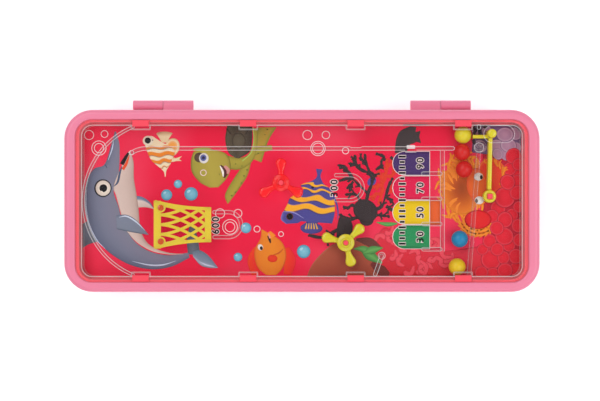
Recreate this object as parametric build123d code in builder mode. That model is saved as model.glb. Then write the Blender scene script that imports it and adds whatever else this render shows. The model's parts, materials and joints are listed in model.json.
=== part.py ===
"""A plastic pencil case with a hand pinball game built into its hinged lid.

Millimetres, +Z up, +X along the case, +Y towards the hinges. The origin is at the centre of
the underside. The game is played with the -X end up: the launcher knocks a ball along the
lane at +Y, the arc guide turns it back, and it falls through spinners and pockets to the
score rack, or past it into the gutter.
"""
import math
import os

from build123d import *

# Case
case_length = 240.0
case_width = 92.0
base_height = 20.0
case_corner = 14.5
case_wall = 2.0
base_floor = 2.0
base_edge_round = 2.0
lid_edge_round = 2.5
window_edge_round = 0.8
rim_end = 3.7  # lid surface between the window and the end walls
rim_side = 3.0  # and the side walls
window_corner = 8.5

# Lip of the base, inside the lid's skirt
lip_wall = 1.2
lip_gap = 0.4
lip_rise = 1.5
lip_root = 3.0
scoop_radius = 80.0
scoop_depth = 0.9

# Tray, card and clear cover
tray_wall = 1.5
tray_floor = 1.5
flange_thickness = 1.5
flange_gap = 0.4
tray_over_window = 0.2  # how far the tray's wall reaches under the lid's rim at the sides
card_thickness = 0.4
card_gap = 0.3
cover_thickness = 1.5
cover_recess = 0.5  # cover's top under the lid's top
cover_gap = 0.2
cover_wall = 1.2
foot_gap = 0.2  # rails and walls of the cover end this far over the card
tray_lift = 0.5  # tray's underside over the seam
joint_gap = 0.05  # between pieces that only just meet
nib_length = 8.0
nib_reach = 0.9
nib_height = 1.1
nib_spread = 54.0

# Snap clips that hold the cover
clip_width = 8.3
clip_slack = 0.2
clip_reach = 3.3
clip_ledge = 0.8
clip_shares = (-0.732, -0.244, 0.244, 0.732)  # places along half the play length
clip_frame = 5.0
clip_frame_reach = 2.5
clip_frame_wall = 0.8
clip_frame_depth = 1.2

# Balls and lane
ball_diameter = 8.6
ball_headroom = 1.0
ball_sink = 0.05  # daylight under a ball
lane_slack = 2.05
lane_side_gap = 0.45
rail_width = 2.1
rail_block_shares = (0.47, 0.52)  # places along half the play length
rail_notch_shares = (0.22, 0.27)
arc_width = 1.6
arc_extra = 2.2  # arc radius over half the play width
rail_end_gap = 0.94  # daylight between the lane rail's end and the first ball
rail_post_radius = 1.3
rail_post_drop = 2.2
rail_post_reach = 16.15
rail_curve_reach = 8.65
stop_inset = 21.7
stop_width = 2.0
stop_length = 2.6

# Score rack and gutter
rack_inset = 39.0
rack_back = 2.3
rack_depth = 10.8
rack_divider = 2.15
rack_pockets = 4
rack_foot_gap = 13.75
gutter_width = 2.2
gutter_head_radius = 2.5
gutter_head_inset = 21.65
gutter_head_rise = 0.5
gutter_foot_inset = 26.7

# Pockets, net, spinners and deflector: places are shares of half the play length and width
net_place = (-0.543, -0.314)
net_length = 29.0
net_half_top = 12.7
net_half_bottom = 9.0
net_half_waist = 9.4
net_band = 3.0
net_side_band = 1.5
net_thickness = 0.8
net_columns = 3
net_rows = 6
net_boss_wall = 0.9
net_pitch = 5.3
net_strand = 1.3
net_post_radius = 1.5
net_post_inset = 3.5
net_post_spread = 8.55
pocket_radius = 5.3
pocket_wall = 2.0
pocket_arm = 7.1
pocket_net_gap = 1.7
pocket_300_place = (0.2196, 0.175)
spinner_radius = 12.6
spinner_hub = 4.4
spinner_neck = 3.0
spinner_lobe = 2.9
spinner_axle = 1.2
spinner_clearance = 0.05
spinner_rail_gap = 3.65
red_share = -0.0954
yellow_place = (0.1998, -0.555)
red_turn = 90.0
yellow_turn = 45.0
deflector_share = 0.363
deflector_rise = 10.5
deflector_lean = 3.3
deflector_head = 1.9

# Launcher
hub_inset = 16.0
hub_y = 2.3
hub_radius = 3.25
hub_hole = 2.7
hub_post = 2.5
arm_width = 2.3
arm_offset = 0.3
arm_root_gap = 0.15
hammer_width = 2.1
hammer_inset = 24.5
hammer_drop = 0.55
hammer_gap = 0.5  # daylight between the hammer and the ball in the lane
knob_radius = 2.3
knob_rise = 3.5  # over the cover
knob_reach = 0.4
knob_lift = 0.45
slot_length = 15.4
slot_width = 8.5
slot_reach = 4.4

# Hinges
hinge_inset = 49.1
hinge_length = 30.7
knuckle_radius = 2.6
knuckle_wall_gap = 0.2
knuckle_gap = 0.2
web_gap = 0.15
pin_radius = 0.9
pin_press_gap = 0.02
pin_run_gap = 0.05
pin_inset = 0.4

# Magnetic catch at the front
catch_half = 8.0
magnet_size = (10.0, 3.0, 3.0)
plate_size = (12.0, 1.8, 1.1)
catch_gap = 0.05
catch_skin = 0.4

# Balls in the gutter: daylight to the next one along, and to the gutter rail
first_gap = (0.1, 2.5)
second_gap = (0.1, 0.8)
blue_gap = (5.5, 0.25)
yellow_gap = (0.45, 0.45)

# Levels, from the table up
seam = base_height
tray_bottom = seam + tray_lift
card_bottom = tray_bottom + tray_floor
card_top = card_bottom + card_thickness
foot = card_top + foot_gap
cover_bottom = card_top + ball_diameter + ball_headroom
cover_top = cover_bottom + cover_thickness
lid_top = cover_top + cover_recess
ball_radius = ball_diameter / 2
ball_level = card_top + ball_sink + ball_radius

# Outlines, as half length, half width and corner
half_length = case_length / 2
half_width = case_width / 2
OUTER = (half_length, half_width, case_corner)
INNER = (half_length - case_wall, half_width - case_wall, case_corner - case_wall)
WINDOW = (INNER[0] - rim_end, INNER[1] - rim_side, window_corner)
FLANGE = tuple(size - flange_gap for size in INNER)
PLATE = tuple(size - cover_gap for size in WINDOW)
TRAY_OUT = (WINDOW[0] - cover_gap, WINDOW[1] + tray_over_window, window_corner)
TRAY_IN = tuple(size - tray_wall for size in TRAY_OUT)
CARD = tuple(size - card_gap for size in TRAY_IN)
PLAY = tuple(size - cover_wall for size in CARD)
LIP_OUT = tuple(size - lip_gap for size in INNER)
LIP_IN = tuple(size - lip_wall for size in LIP_OUT)

# Places in the game
east = PLAY[0]
west = -PLAY[0]
north = PLAY[1]
south = -PLAY[1]
lane_y = north - lane_side_gap - ball_radius
rail_y = north - ball_diameter - lane_slack - rail_width / 2
arc_radius = north + arc_extra
arc_x = west + joint_gap + arc_width / 2 + arc_radius
rack_pitch = (rail_y - south - rack_foot_gap) / rack_pockets
rack_x = east - rack_inset
gutter_head = (east - gutter_head_inset, rail_y + gutter_head_rise)
gutter_foot = (east - gutter_foot_inset, south + joint_gap + gutter_width / 2)
net_at = (net_place[0] * east, net_place[1] * north)
pocket_600_at = (net_at[0] + net_length / 2 + pocket_net_gap + pocket_arm, net_at[1])
pocket_300_at = (pocket_300_place[0] * east, pocket_300_place[1] * north)
red_at = (red_share * east, rail_y - rail_width / 2 - spinner_rail_gap - spinner_radius)
yellow_at = (yellow_place[0] * east, yellow_place[1] * north)
deflector_at = (deflector_share * east, south + deflector_rise)
hub_at = (east - hub_inset, hub_y)
knob_at = (hub_at[0] + knob_reach, lane_y + knob_lift)
slot_at = (hub_at[0] + slot_reach, lane_y + knob_lift / 2)
net_posts = [
    (net_at[0] - net_length / 2 + net_post_inset, net_at[1] + side * net_post_spread)
    for side in (-1, 1)
]
hinge_y = half_width + knuckle_radius + knuckle_wall_gap
clip_spots = [(share * east, side) for share in clip_shares for side in (-1, 1)]


def slab(outline, low, high, mode=Mode.ADD):
    """A rounded rectangle, given as half length, half width and corner, between two levels."""
    with BuildSketch(Plane.XY.offset(low)) as face:
        RectangleRounded(2 * outline[0], 2 * outline[1], outline[2])
    extrude(face.sketch, amount=high - low, mode=mode)


def ring(outside, inside, low, high):
    """A rounded frame between two outlines and two levels."""
    with BuildSketch(Plane.XY.offset(low)) as face:
        RectangleRounded(2 * outside[0], 2 * outside[1], outside[2])
        RectangleRounded(2 * inside[0], 2 * inside[1], inside[2], mode=Mode.SUBTRACT)
    extrude(face.sketch, amount=high - low)


def block(x_span, y_span, z_span, mode=Mode.ADD):
    """A box given by its span along each axis, in either order."""
    spans = [sorted(span) for span in (x_span, y_span, z_span)]
    corner = tuple(span[0] for span in spans)
    sizes = [span[1] - span[0] for span in spans]
    with Locations(corner):
        Box(*sizes, align=(Align.MIN, Align.MIN, Align.MIN), mode=mode)


def pillar(place, radius, low, high, mode=Mode.ADD):
    """An upright cylinder between two levels."""
    with Locations((place[0], place[1], low)):
        Cylinder(radius, high - low, align=(Align.CENTER, Align.CENTER, Align.MIN), mode=mode)


def rail(path, width):
    """A rail with round ends that hangs from the cover along a path."""
    with BuildSketch(Plane.XY.offset(cover_bottom)) as face:
        SlotArc(path, width)
    extrude(face.sketch, amount=foot - cover_bottom)


def barrel(x_span, radius, mode=Mode.ADD):
    """A cylinder on the hinge axis between two places along the case."""
    low, high = sorted(x_span)
    with BuildSketch(Plane.YZ.offset(low)) as face:
        with Locations((hinge_y, seam)):
            Circle(radius)
    extrude(face.sketch, amount=high - low, mode=mode)


def knuckle_spans(side):
    """The base's and the lid's share of the hinge at one side, the base's nearer the end."""
    centre = side * (half_length - hinge_inset)
    outer = (centre + side * hinge_length / 2, centre + side * knuckle_gap / 2)
    inner = (centre - side * knuckle_gap / 2, centre - side * hinge_length / 2)
    return outer, inner


def pocket_path(place):
    """A U that opens towards -X, its bend centred on a place."""
    bend = pocket_radius + pocket_wall / 2
    x, y = place
    with BuildLine() as path:
        Line((x - pocket_arm, y + bend), (x, y + bend))
        ThreePointArc((x, y + bend), (x + bend, y), (x, y - bend))
        Line((x, y - bend), (x - pocket_arm, y - bend))
    return path.wire()


def net_outline(end_inset, side_inset):
    """The net's flared outline about its own centre, drawn in at the ends and the sides."""
    top = (-net_length / 2 + end_inset, net_half_top - side_inset)
    bottom = (net_length / 2 - end_inset, net_half_bottom - side_inset)
    waist = (0, net_half_waist - side_inset)
    with BuildSketch() as outline:
        with BuildLine():
            ThreePointArc(top, waist, bottom)
            Line(bottom, (bottom[0], 0))
            Line(top, (top[0], 0))
            mirror(about=Plane.XZ)
        make_face()
    return outline.sketch


def clear_of_clips():
    """Cut a rail back from the frames under the clips."""
    for spot_x, side in clip_spots:
        block((spot_x - clip_frame - joint_gap, spot_x + clip_frame + joint_gap),
              (side * (north - clip_frame_reach - joint_gap), side * (north + 1)),
              (cover_bottom - clip_frame_depth - joint_gap, cover_bottom), mode=Mode.SUBTRACT)


def gutter_face(y):
    """The ball side of the gutter rail at a height across the case."""
    share = (y - gutter_foot[1]) / (gutter_head[1] - gutter_foot[1])
    return gutter_foot[0] + share * (gutter_head[0] - gutter_foot[0]) - gutter_width / 2


def gutter_ball(y, stand_off):
    """The centre of a ball beside the gutter rail."""
    return gutter_face(y) - stand_off - ball_radius, y


def finish(builder, name):
    """Name a finished piece and write it."""
    builder.part.label = name
    export_step(builder.part, f"parts/{name}.step")


first_y = lane_y - ball_diameter - first_gap[0]
second_y = first_y - ball_diameter - second_gap[0]
yellow_y = south + ball_radius + yellow_gap[0]
blue_y = yellow_y + ball_diameter + blue_gap[0]
hammer_tip = east - hammer_inset
ball_places = {
    "ball_lane": (hammer_tip - hammer_gap - ball_radius, lane_y),
    "ball_red_first": gutter_ball(first_y, first_gap[1]),
    "ball_red_second": gutter_ball(second_y, second_gap[1]),
    "ball_blue": gutter_ball(blue_y, blue_gap[1]),
    "ball_yellow": gutter_ball(yellow_y, yellow_gap[1]),
}

os.makedirs("parts", exist_ok=True)

# ---- Base: the tray that holds the pencils ----
with BuildPart() as base_shell:
    slab(OUTER, 0, seam)
    fillet(base_shell.edges().group_by(Axis.Z)[0], base_edge_round)
    slab(INNER, base_floor, seam, mode=Mode.SUBTRACT)
    ring((INNER[0] + case_wall / 2, INNER[1] + case_wall / 2, INNER[2]), LIP_IN,
         seam - lip_root, seam - lip_gap)
    ring(LIP_OUT, LIP_IN, seam - lip_root, seam + lip_rise)
    catch_y = -half_width + case_wall
    catch_pocket = magnet_size[1] + 2 * catch_gap
    block((-catch_half - 1, catch_half + 1), (catch_y, catch_y + lip_gap + lip_wall + 1),
          (seam - lip_gap, seam + lip_rise), mode=Mode.SUBTRACT)
    block((-catch_half, catch_half), (catch_y - 1, catch_y + catch_pocket + 2 * catch_skin),
          (seam - 2 * magnet_size[2] - 2, seam - lip_gap))
    magnet_floor = seam - lip_gap - magnet_size[2] - catch_gap
    block((-magnet_size[0] / 2 - catch_gap, magnet_size[0] / 2 + catch_gap),
          (catch_y + catch_skin, catch_y + catch_skin + catch_pocket),
          (magnet_floor, seam), mode=Mode.SUBTRACT)
    for hinge_side in (-1, 1):
        base_span = knuckle_spans(hinge_side)[0]
        barrel(base_span, knuckle_radius)
        block(base_span, (half_width - case_wall / 2, hinge_y),
              (seam - knuckle_radius, seam - web_gap))
        barrel(base_span, pin_radius + pin_press_gap, mode=Mode.SUBTRACT)
    with Locations((0, -half_width - scoop_radius + scoop_depth, seam)):
        Cylinder(scoop_radius, base_height, mode=Mode.SUBTRACT)
finish(base_shell, "base_shell")

for pin_name, hinge_side in (("hinge_pin_left", -1), ("hinge_pin_right", 1)):
    pin_middle = hinge_side * (half_length - hinge_inset)
    pin_half = hinge_length / 2 - pin_inset
    with BuildPart() as hinge_pin:
        barrel((pin_middle - pin_half, pin_middle + pin_half), pin_radius)
        chamfer(hinge_pin.edges().filter_by(GeomType.CIRCLE), pin_radius / 4)
    finish(hinge_pin, pin_name)

with BuildPart() as catch_magnet:
    magnet_y = catch_y + catch_skin + catch_gap
    block((-magnet_size[0] / 2, magnet_size[0] / 2), (magnet_y, magnet_y + magnet_size[1]),
          (magnet_floor, magnet_floor + magnet_size[2]))
    chamfer(catch_magnet.edges(), catch_gap * 4)
finish(catch_magnet, "catch_magnet")

# ---- Lid: a frame round the game's window ----
plate_level = seam + lip_gap
with BuildPart() as lid_shell:
    slab(OUTER, seam, lid_top)
    fillet(lid_shell.edges().group_by(Axis.Z)[-1], lid_edge_round)
    slab(INNER, seam, cover_bottom, mode=Mode.SUBTRACT)
    slab(WINDOW, cover_bottom, lid_top, mode=Mode.SUBTRACT)
    window_edges = lid_shell.edges().group_by(Axis.Z)[-1].filter_by(
        lambda edge: abs(edge.center().X) < WINDOW[0] + joint_gap
        and abs(edge.center().Y) < WINDOW[1] + joint_gap
    )
    fillet(window_edges, window_edge_round)
    nib_top = cover_bottom - flange_thickness - joint_gap
    for nib_side in (-1, 1):
        nib_y = (nib_side * (INNER[1] + case_wall / 2), nib_side * (INNER[1] - nib_reach))
        nib_x = (nib_side * (INNER[0] + case_wall / 2), nib_side * (INNER[0] - nib_reach))
        block(nib_x, (-nib_length / 2, nib_length / 2), (nib_top - nib_height, nib_top))
        for nib_middle in (-nib_spread, nib_spread):
            block((nib_middle - nib_length / 2, nib_middle + nib_length / 2), nib_y,
                  (nib_top - nib_height, nib_top))
    plate_pocket = plate_size[1] + 2 * catch_gap
    block((-catch_half, catch_half), (catch_y - 1, catch_y + plate_pocket + 2 * catch_skin),
          (plate_level, plate_level + 3 * plate_size[2]))
    block((-plate_size[0] / 2 - catch_gap, plate_size[0] / 2 + catch_gap),
          (catch_y + catch_skin, catch_y + catch_skin + plate_pocket),
          (plate_level, plate_level + plate_size[2] + catch_gap), mode=Mode.SUBTRACT)
    for hinge_side in (-1, 1):
        lid_span = knuckle_spans(hinge_side)[1]
        barrel(lid_span, knuckle_radius)
        block(lid_span, (half_width - case_wall / 2, hinge_y),
              (seam + web_gap, seam + knuckle_radius))
        barrel(lid_span, pin_radius + pin_run_gap, mode=Mode.SUBTRACT)
finish(lid_shell, "lid_shell")

with BuildPart() as catch_plate:
    plate_y = catch_y + catch_skin + catch_gap
    block((-plate_size[0] / 2, plate_size[0] / 2), (plate_y, plate_y + plate_size[1]),
          (plate_level, plate_level + plate_size[2]))
    chamfer(catch_plate.edges().filter_by(Axis.Y), catch_gap * 2)
finish(catch_plate, "catch_plate")

# ---- Game tray with its axles, posts and snap tongues ----
post_top = cover_bottom - joint_gap
with BuildPart() as game_tray:
    slab(TRAY_OUT, tray_bottom, cover_bottom)
    ring(FLANGE, TRAY_IN, cover_bottom - flange_thickness, cover_bottom)
    slab(TRAY_IN, card_bottom, cover_bottom, mode=Mode.SUBTRACT)
    for clip_x, clip_side in clip_spots:
        neck = (clip_side * (TRAY_IN[1] + joint_gap), clip_side * (PLATE[1] - joint_gap))
        hook = (clip_side * (PLATE[1] - clip_reach), clip_side * (PLATE[1] - joint_gap))
        clip_span = (clip_x - clip_width / 2, clip_x + clip_width / 2)
        block(clip_span, neck, (cover_bottom - 1, cover_top - joint_gap))
        block(clip_span, hook, (cover_bottom + clip_ledge + joint_gap, cover_top - joint_gap))
    for axle_at in (red_at, yellow_at):
        pillar(axle_at, spinner_axle, tray_bottom + 1, post_top)
    for post_at in net_posts:
        pillar(post_at, net_post_radius, tray_bottom + 1, cover_bottom - net_thickness / 2)
    block((hub_at[0] - hub_post / 2, hub_at[0] + hub_post / 2),
          (hub_at[1] - hub_post / 2, hub_at[1] + hub_post / 2),
          (tray_bottom + 1, cover_bottom - ball_headroom))
finish(game_tray, "game_tray")

with BuildPart() as playfield_card:
    slab(CARD, card_bottom, card_top)
    for axle_at in (red_at, yellow_at):
        pillar(axle_at, spinner_axle + card_gap, card_bottom, card_top, mode=Mode.SUBTRACT)
    for post_at in net_posts:
        pillar(post_at, net_post_radius + card_gap, card_bottom, card_top, mode=Mode.SUBTRACT)
    pillar(hub_at, hub_post, card_bottom, card_top, mode=Mode.SUBTRACT)
finish(playfield_card, "playfield_card")

# ---- Clear cover ----
with BuildPart() as clear_cover:
    slab(PLATE, cover_bottom, cover_top)
    ring(CARD, PLAY, foot, cover_bottom)
    for clip_x, clip_side in clip_spots:
        recess = clip_width / 2 + clip_slack
        edge_y = clip_side * (PLATE[1] + 1)
        block((clip_x - recess, clip_x + recess),
              (clip_side * (PLATE[1] - clip_reach - clip_slack), edge_y),
              (cover_bottom + clip_ledge, cover_top), mode=Mode.SUBTRACT)
        block((clip_x - recess, clip_x + recess), (clip_side * (CARD[1] + joint_gap), edge_y),
              (cover_bottom, cover_top), mode=Mode.SUBTRACT)
        frame_y = clip_side * (north - clip_frame_reach)
        frame_z = (cover_bottom - clip_frame_depth, cover_bottom)
        block((clip_x - clip_frame, clip_x + clip_frame),
              (frame_y, frame_y + clip_side * clip_frame_wall), frame_z)
        for rib_side in (-1, 1):
            rib_x = clip_x + rib_side * clip_frame
            block((rib_x, rib_x - rib_side * clip_frame_wall), (frame_y, clip_side * north),
                  frame_z)
    with BuildSketch(Plane.XY.offset(cover_bottom)) as knob_slot:
        with Locations(slot_at):
            SlotOverall(slot_length, slot_width)
    extrude(knob_slot.sketch, amount=cover_thickness, mode=Mode.SUBTRACT)
finish(clear_cover, "clear_cover")

# ---- Clear rails that hang from the cover ----
with BuildPart() as lane_rail:
    rail_start = (ball_places["ball_red_first"][0] - ball_radius - rail_end_gap, rail_y)
    rail_bend = (arc_x - rail_curve_reach, rail_y)
    rail_post = (arc_x - rail_post_reach, rail_y - rail_post_drop)
    with BuildLine() as rail_path:
        Line(rail_start, rail_bend)
        TangentArc(rail_bend, rail_post, tangent=(-1, 0))
    rail(rail_path.wire(), rail_width)
    pillar(rail_post, rail_post_radius, foot, cover_bottom)
    block([share * east for share in rail_block_shares], (rail_y - rail_width, rail_y),
          (foot, cover_bottom))
    block([share * east for share in rail_notch_shares], (rail_y, rail_y + rail_width),
          (foot, cover_bottom - clip_frame_depth), mode=Mode.SUBTRACT)
finish(lane_rail, "lane_rail")

with BuildPart() as arc_guide:
    arc_swing = math.degrees(math.asin((north - joint_gap - arc_width / 2) / arc_radius))
    with BuildLine() as arc_path:
        CenterArc((arc_x, 0), arc_radius, 180 - arc_swing, 2 * arc_swing)
    rail(arc_path.wire(), arc_width)
    clear_of_clips()
finish(arc_guide, "arc_guide")

with BuildPart() as score_rack:
    divider_tip = rack_x - rack_depth + rack_divider / 2
    with BuildSketch(Plane.XY.offset(foot)) as rack_face:
        rack_low = rail_y - rack_pockets * rack_pitch - rack_divider / 2
        rack_high = rail_y - rail_width / 2 - joint_gap
        with Locations((rack_x - rack_back / 2, (rack_low + rack_high) / 2)):
            Rectangle(rack_back, rack_high - rack_low)
        for pocket_number in range(1, rack_pockets + 1):
            divider_y = rail_y - pocket_number * rack_pitch
            with Locations(((rack_x - rack_back / 2 + divider_tip) / 2, divider_y)):
                Rectangle(rack_x - rack_back / 2 - divider_tip, rack_divider)
            with Locations((divider_tip, divider_y)):
                Circle(rack_divider / 2)
    extrude(rack_face.sketch, amount=cover_bottom - foot)
finish(score_rack, "score_rack")

for pocket_name, pocket_at in (("pocket_600", pocket_600_at), ("pocket_300", pocket_300_at)):
    with BuildPart() as pocket:
        rail(pocket_path(pocket_at), pocket_wall)
    finish(pocket, pocket_name)

with BuildPart() as gutter_rail:
    with BuildLine() as gutter_path:
        Line(gutter_foot, gutter_head)
    rail(gutter_path.wire(), gutter_width)
    pillar(gutter_head, gutter_head_radius, foot, cover_bottom)
    clear_of_clips()
finish(gutter_rail, "gutter_rail")

with BuildPart() as deflector:
    deflector_foot = (deflector_at[0] - deflector_lean, south + joint_gap + rail_width / 2)
    with BuildLine() as deflector_path:
        Line(deflector_foot, deflector_at)
    rail(deflector_path.wire(), rail_width)
    pillar(deflector_at, deflector_head, foot, cover_bottom)
finish(deflector, "deflector")

with BuildPart() as lane_stop:
    stop_top = north - joint_gap
    block((east - stop_inset - stop_width / 2, east - stop_inset + stop_width / 2),
          (stop_top - stop_length, stop_top), (foot, cover_bottom))
    fillet(lane_stop.edges().filter_by(Axis.Z).group_by(Axis.Y)[0], stop_width / 3)
finish(lane_stop, "lane_stop")

# ---- Basket net, carried by two posts of the tray just under the cover ----
with BuildPart() as basket_net:
    net_plane = Plane(origin=(net_at[0], net_at[1], cover_bottom - net_thickness))
    column = (net_length - 2 * net_band) / net_columns
    half_strand = net_strand / 2
    diamond = [
        (-column / 2 + net_strand, 0),
        (0, net_pitch / 2 - half_strand),
        (column / 2 - net_strand, 0),
        (0, -net_pitch / 2 + half_strand),
    ]
    with BuildSketch(mode=Mode.PRIVATE) as net_holes:
        add(net_outline(net_band, net_side_band))
        with BuildSketch(mode=Mode.INTERSECT):
            for shift in (0, 1):
                with GridLocations(column, net_pitch, net_columns - shift, net_rows + shift):
                    Polygon(*diamond)
    with BuildSketch(net_plane) as net_face:
        add(net_outline(0, 0))
        add(net_holes.sketch, mode=Mode.SUBTRACT)
        with Locations(*[(-net_length / 2 + net_post_inset, side * net_post_spread)
                         for side in (-1, 1)]):
            Circle(net_post_radius + net_boss_wall)
            Circle(net_post_radius + joint_gap, mode=Mode.SUBTRACT)
    extrude(amount=net_thickness)
finish(basket_net, "basket_net")

# ---- Spinners ----
blade_low = foot + 2 * ball_headroom
blade_high = cover_bottom - 2 * ball_headroom
for spinner_name, spinner_at, first_turn in (
    ("spinner_red", red_at, red_turn),
    ("spinner_yellow", yellow_at, yellow_turn),
):
    with BuildPart() as spinner:
        with BuildSketch(Plane.XY.offset(blade_low)) as blades:
            with Locations(spinner_at):
                Circle(spinner_hub)
                with PolarLocations(spinner_radius - spinner_lobe, 3, start_angle=first_turn):
                    Circle(spinner_lobe)
                with PolarLocations((spinner_radius - spinner_lobe) / 2, 3,
                                    start_angle=first_turn):
                    Rectangle(spinner_radius - spinner_lobe, spinner_neck)
        extrude(blades.sketch, amount=blade_high - blade_low)
        pillar(spinner_at, spinner_hub, foot + ball_headroom, cover_bottom - ball_headroom)
        pillar(spinner_at, spinner_axle + spinner_clearance, foot, cover_bottom,
               mode=Mode.SUBTRACT)
    finish(spinner, spinner_name)

# ---- Launcher: a hub pressed on the tray's square post, and the springy arm ----
arm_low = foot + ball_headroom
arm_high = cover_bottom - 2 * ball_headroom
with BuildPart() as launcher_hub:
    pillar(hub_at, hub_radius, foot, arm_high)
    block((hub_at[0] - hub_hole / 2, hub_at[0] + hub_hole / 2),
          (hub_at[1] - hub_hole / 2, hub_at[1] + hub_hole / 2), (foot, arm_high),
          mode=Mode.SUBTRACT)
finish(launcher_hub, "launcher_hub")

with BuildPart() as launcher_arm:
    hammer_y = lane_y - hammer_drop
    with BuildSketch(Plane.XY.offset(arm_low)) as arm_face:
        with BuildLine():
            Polyline((hub_at[0] - arm_offset - arm_width / 2, hub_at[1]),
                     (hub_at[0] - arm_offset + arm_width / 2, hub_at[1]),
                     (knob_at[0] + arm_width / 2, knob_at[1]),
                     (knob_at[0] - arm_width / 2, knob_at[1]), close=True)
        make_face()
        with Locations(((hammer_tip + knob_at[0]) / 2, hammer_y)):
            Rectangle(knob_at[0] - hammer_tip, hammer_width)
        with Locations(hub_at):
            Circle(hub_radius + arm_root_gap, mode=Mode.SUBTRACT)
    extrude(arm_face.sketch, amount=arm_high - arm_low)
    pillar(knob_at, knob_radius, arm_low, cover_top + knob_rise)
    fillet(launcher_arm.edges().group_by(Axis.Z)[-1], knob_radius / 3)
finish(launcher_arm, "launcher_arm")

# ---- Balls: one in the lane, four in the gutter ----
for ball_name, ball_at in ball_places.items():
    with BuildPart() as ball:
        with Locations((ball_at[0], ball_at[1], ball_level)):
            Sphere(ball_radius)
    finish(ball, ball_name)
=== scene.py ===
"""A pink pencil case with a hand pinball game in its lid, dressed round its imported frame.

Places are in millimetres in the frame's own axes: +X along the case towards the launcher, +Y
towards the hinges, +Z up from the table. They become metres where a mesh is made.
"""
import json
import logging
import math
from dataclasses import dataclass, field, replace
from enum import Enum
from typing import Callable, Sequence

import bmesh
import bpy
import numpy as np
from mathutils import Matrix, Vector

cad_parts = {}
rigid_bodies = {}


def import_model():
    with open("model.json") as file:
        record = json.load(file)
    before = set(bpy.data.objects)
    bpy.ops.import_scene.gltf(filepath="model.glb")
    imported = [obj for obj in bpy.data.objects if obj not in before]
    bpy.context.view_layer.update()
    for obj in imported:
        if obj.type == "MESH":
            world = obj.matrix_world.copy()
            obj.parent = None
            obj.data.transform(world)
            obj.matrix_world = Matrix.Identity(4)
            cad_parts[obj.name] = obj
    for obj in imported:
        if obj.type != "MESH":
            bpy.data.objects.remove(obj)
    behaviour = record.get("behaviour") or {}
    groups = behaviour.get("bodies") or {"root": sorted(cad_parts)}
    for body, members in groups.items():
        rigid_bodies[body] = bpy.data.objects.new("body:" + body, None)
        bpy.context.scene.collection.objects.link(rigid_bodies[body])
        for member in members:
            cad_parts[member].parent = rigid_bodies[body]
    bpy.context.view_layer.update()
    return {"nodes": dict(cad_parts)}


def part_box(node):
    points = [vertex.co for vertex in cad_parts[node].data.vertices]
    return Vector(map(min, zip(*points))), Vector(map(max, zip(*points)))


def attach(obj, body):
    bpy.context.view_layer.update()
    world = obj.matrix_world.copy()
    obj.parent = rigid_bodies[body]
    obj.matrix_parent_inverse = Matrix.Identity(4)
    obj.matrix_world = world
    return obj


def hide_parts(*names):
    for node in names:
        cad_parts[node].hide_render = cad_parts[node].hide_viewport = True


MM = 0.001
ART_SPREAD = 1.0135  # the drawing is laid out a little small and printed this much larger
ART_EDGE = (112.0, 39.1)  # half length and half width of the printed area
RIM = 0.28  # width of the painted highlight line where a clear wall meets the cover
WELD = 1e-3  # points closer than this are one
TINY = 1e-4  # edges shorter than this are closed up
LOG = logging.getLogger("pinball_case")
Place = tuple[float, float]
Colour = tuple[float, float, float]
Painter = Callable[[np.ndarray, np.ndarray], np.ndarray]
FlatShape = tuple[np.ndarray, np.ndarray, np.ndarray]
Value = bpy.types.NodeSocket | float | tuple[float, ...] | None


# ------------------------------------------------------------------ colours
def shade(code: str) -> Colour:
    """Turn a six-digit web colour into linear light.

    Args:
        code: the colour, such as "F58FAD".

    Returns:
        Red, green and blue from 0 to 1.
    """
    parts = (int(code[i:i + 2], 16) / 255 for i in (0, 2, 4))
    return tuple(p / 12.92 if p <= 0.04045 else ((p + 0.055) / 1.055) ** 2.4 for p in parts)


def opaque(code: str) -> tuple[float, ...]:
    """A web colour as linear light, with an alpha of 1."""
    return (*shade(code), 1.0)


def flat(code: str) -> Painter:
    """One colour all over."""
    colour = np.array(shade(code))
    return lambda u, v: np.broadcast_to(colour, u.shape + (3,))


def across(stops: Sequence[tuple[float, str]]) -> Painter:
    """Colours that change from one side of a shape to the other.

    Args:
        stops: side (-1 to 1) and colour pairs, in order.

    Returns:
        A painter that blends between the stops.
    """
    sides = [stop[0] for stop in stops]
    colours = np.array([shade(stop[1]) for stop in stops])
    return lambda u, v: np.stack([np.interp(v, sides, colours[:, c]) for c in range(3)], -1)


def along(stops: Sequence[tuple[float, str]]) -> Painter:
    """Colours that change from the start of a shape (0) to its end (1)."""
    painter = across(stops)
    return lambda u, v: painter(v, u)


# ------------------------------------------------------------------ curves and surfaces
def smooth_line(points: Sequence[Sequence[float]], count: int) -> np.ndarray:
    """Carry a Catmull-Rom curve through some points.

    Each span between two points a and b, with neighbours p and q, follows
    0.5 (2a + (b - p) t + (2p - 5a + 4b - q) t^2 + (3a - p - 3b + q) t^3).

    Args:
        points: the points, two or more, of any dimension.
        count: how many points to return.

    Returns:
        The curve as (count, dimension).
    """
    knots = np.asarray(points, float)
    padded = np.vstack([2 * knots[0] - knots[1], knots, 2 * knots[-1] - knots[-2]])
    place = np.linspace(0, len(knots) - 1, count)
    span = np.minimum(place.astype(int), len(knots) - 2)
    t = (place - span)[:, None]
    p, a, b, q = (padded[span + k] for k in range(4))
    return 0.5 * (2 * a + (b - p) * t + (2 * p - 5 * a + 4 * b - q) * t ** 2
                  + (3 * a - p - 3 * b + q) * t ** 3)


def normals_of(line: np.ndarray) -> np.ndarray:
    """The left-hand unit normal at each point of a flat line."""
    run = np.gradient(line, axis=0)
    run /= np.maximum(np.linalg.norm(run, axis=1, keepdims=True), 1e-9)
    return np.stack([-run[:, 1], run[:, 0]], 1)


def resample(widths: Sequence[float], count: int) -> np.ndarray:
    """Spread a few widths evenly over a line."""
    return np.maximum(smooth_line([[w] for w in widths], count)[:, 0], 0.02)


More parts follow.
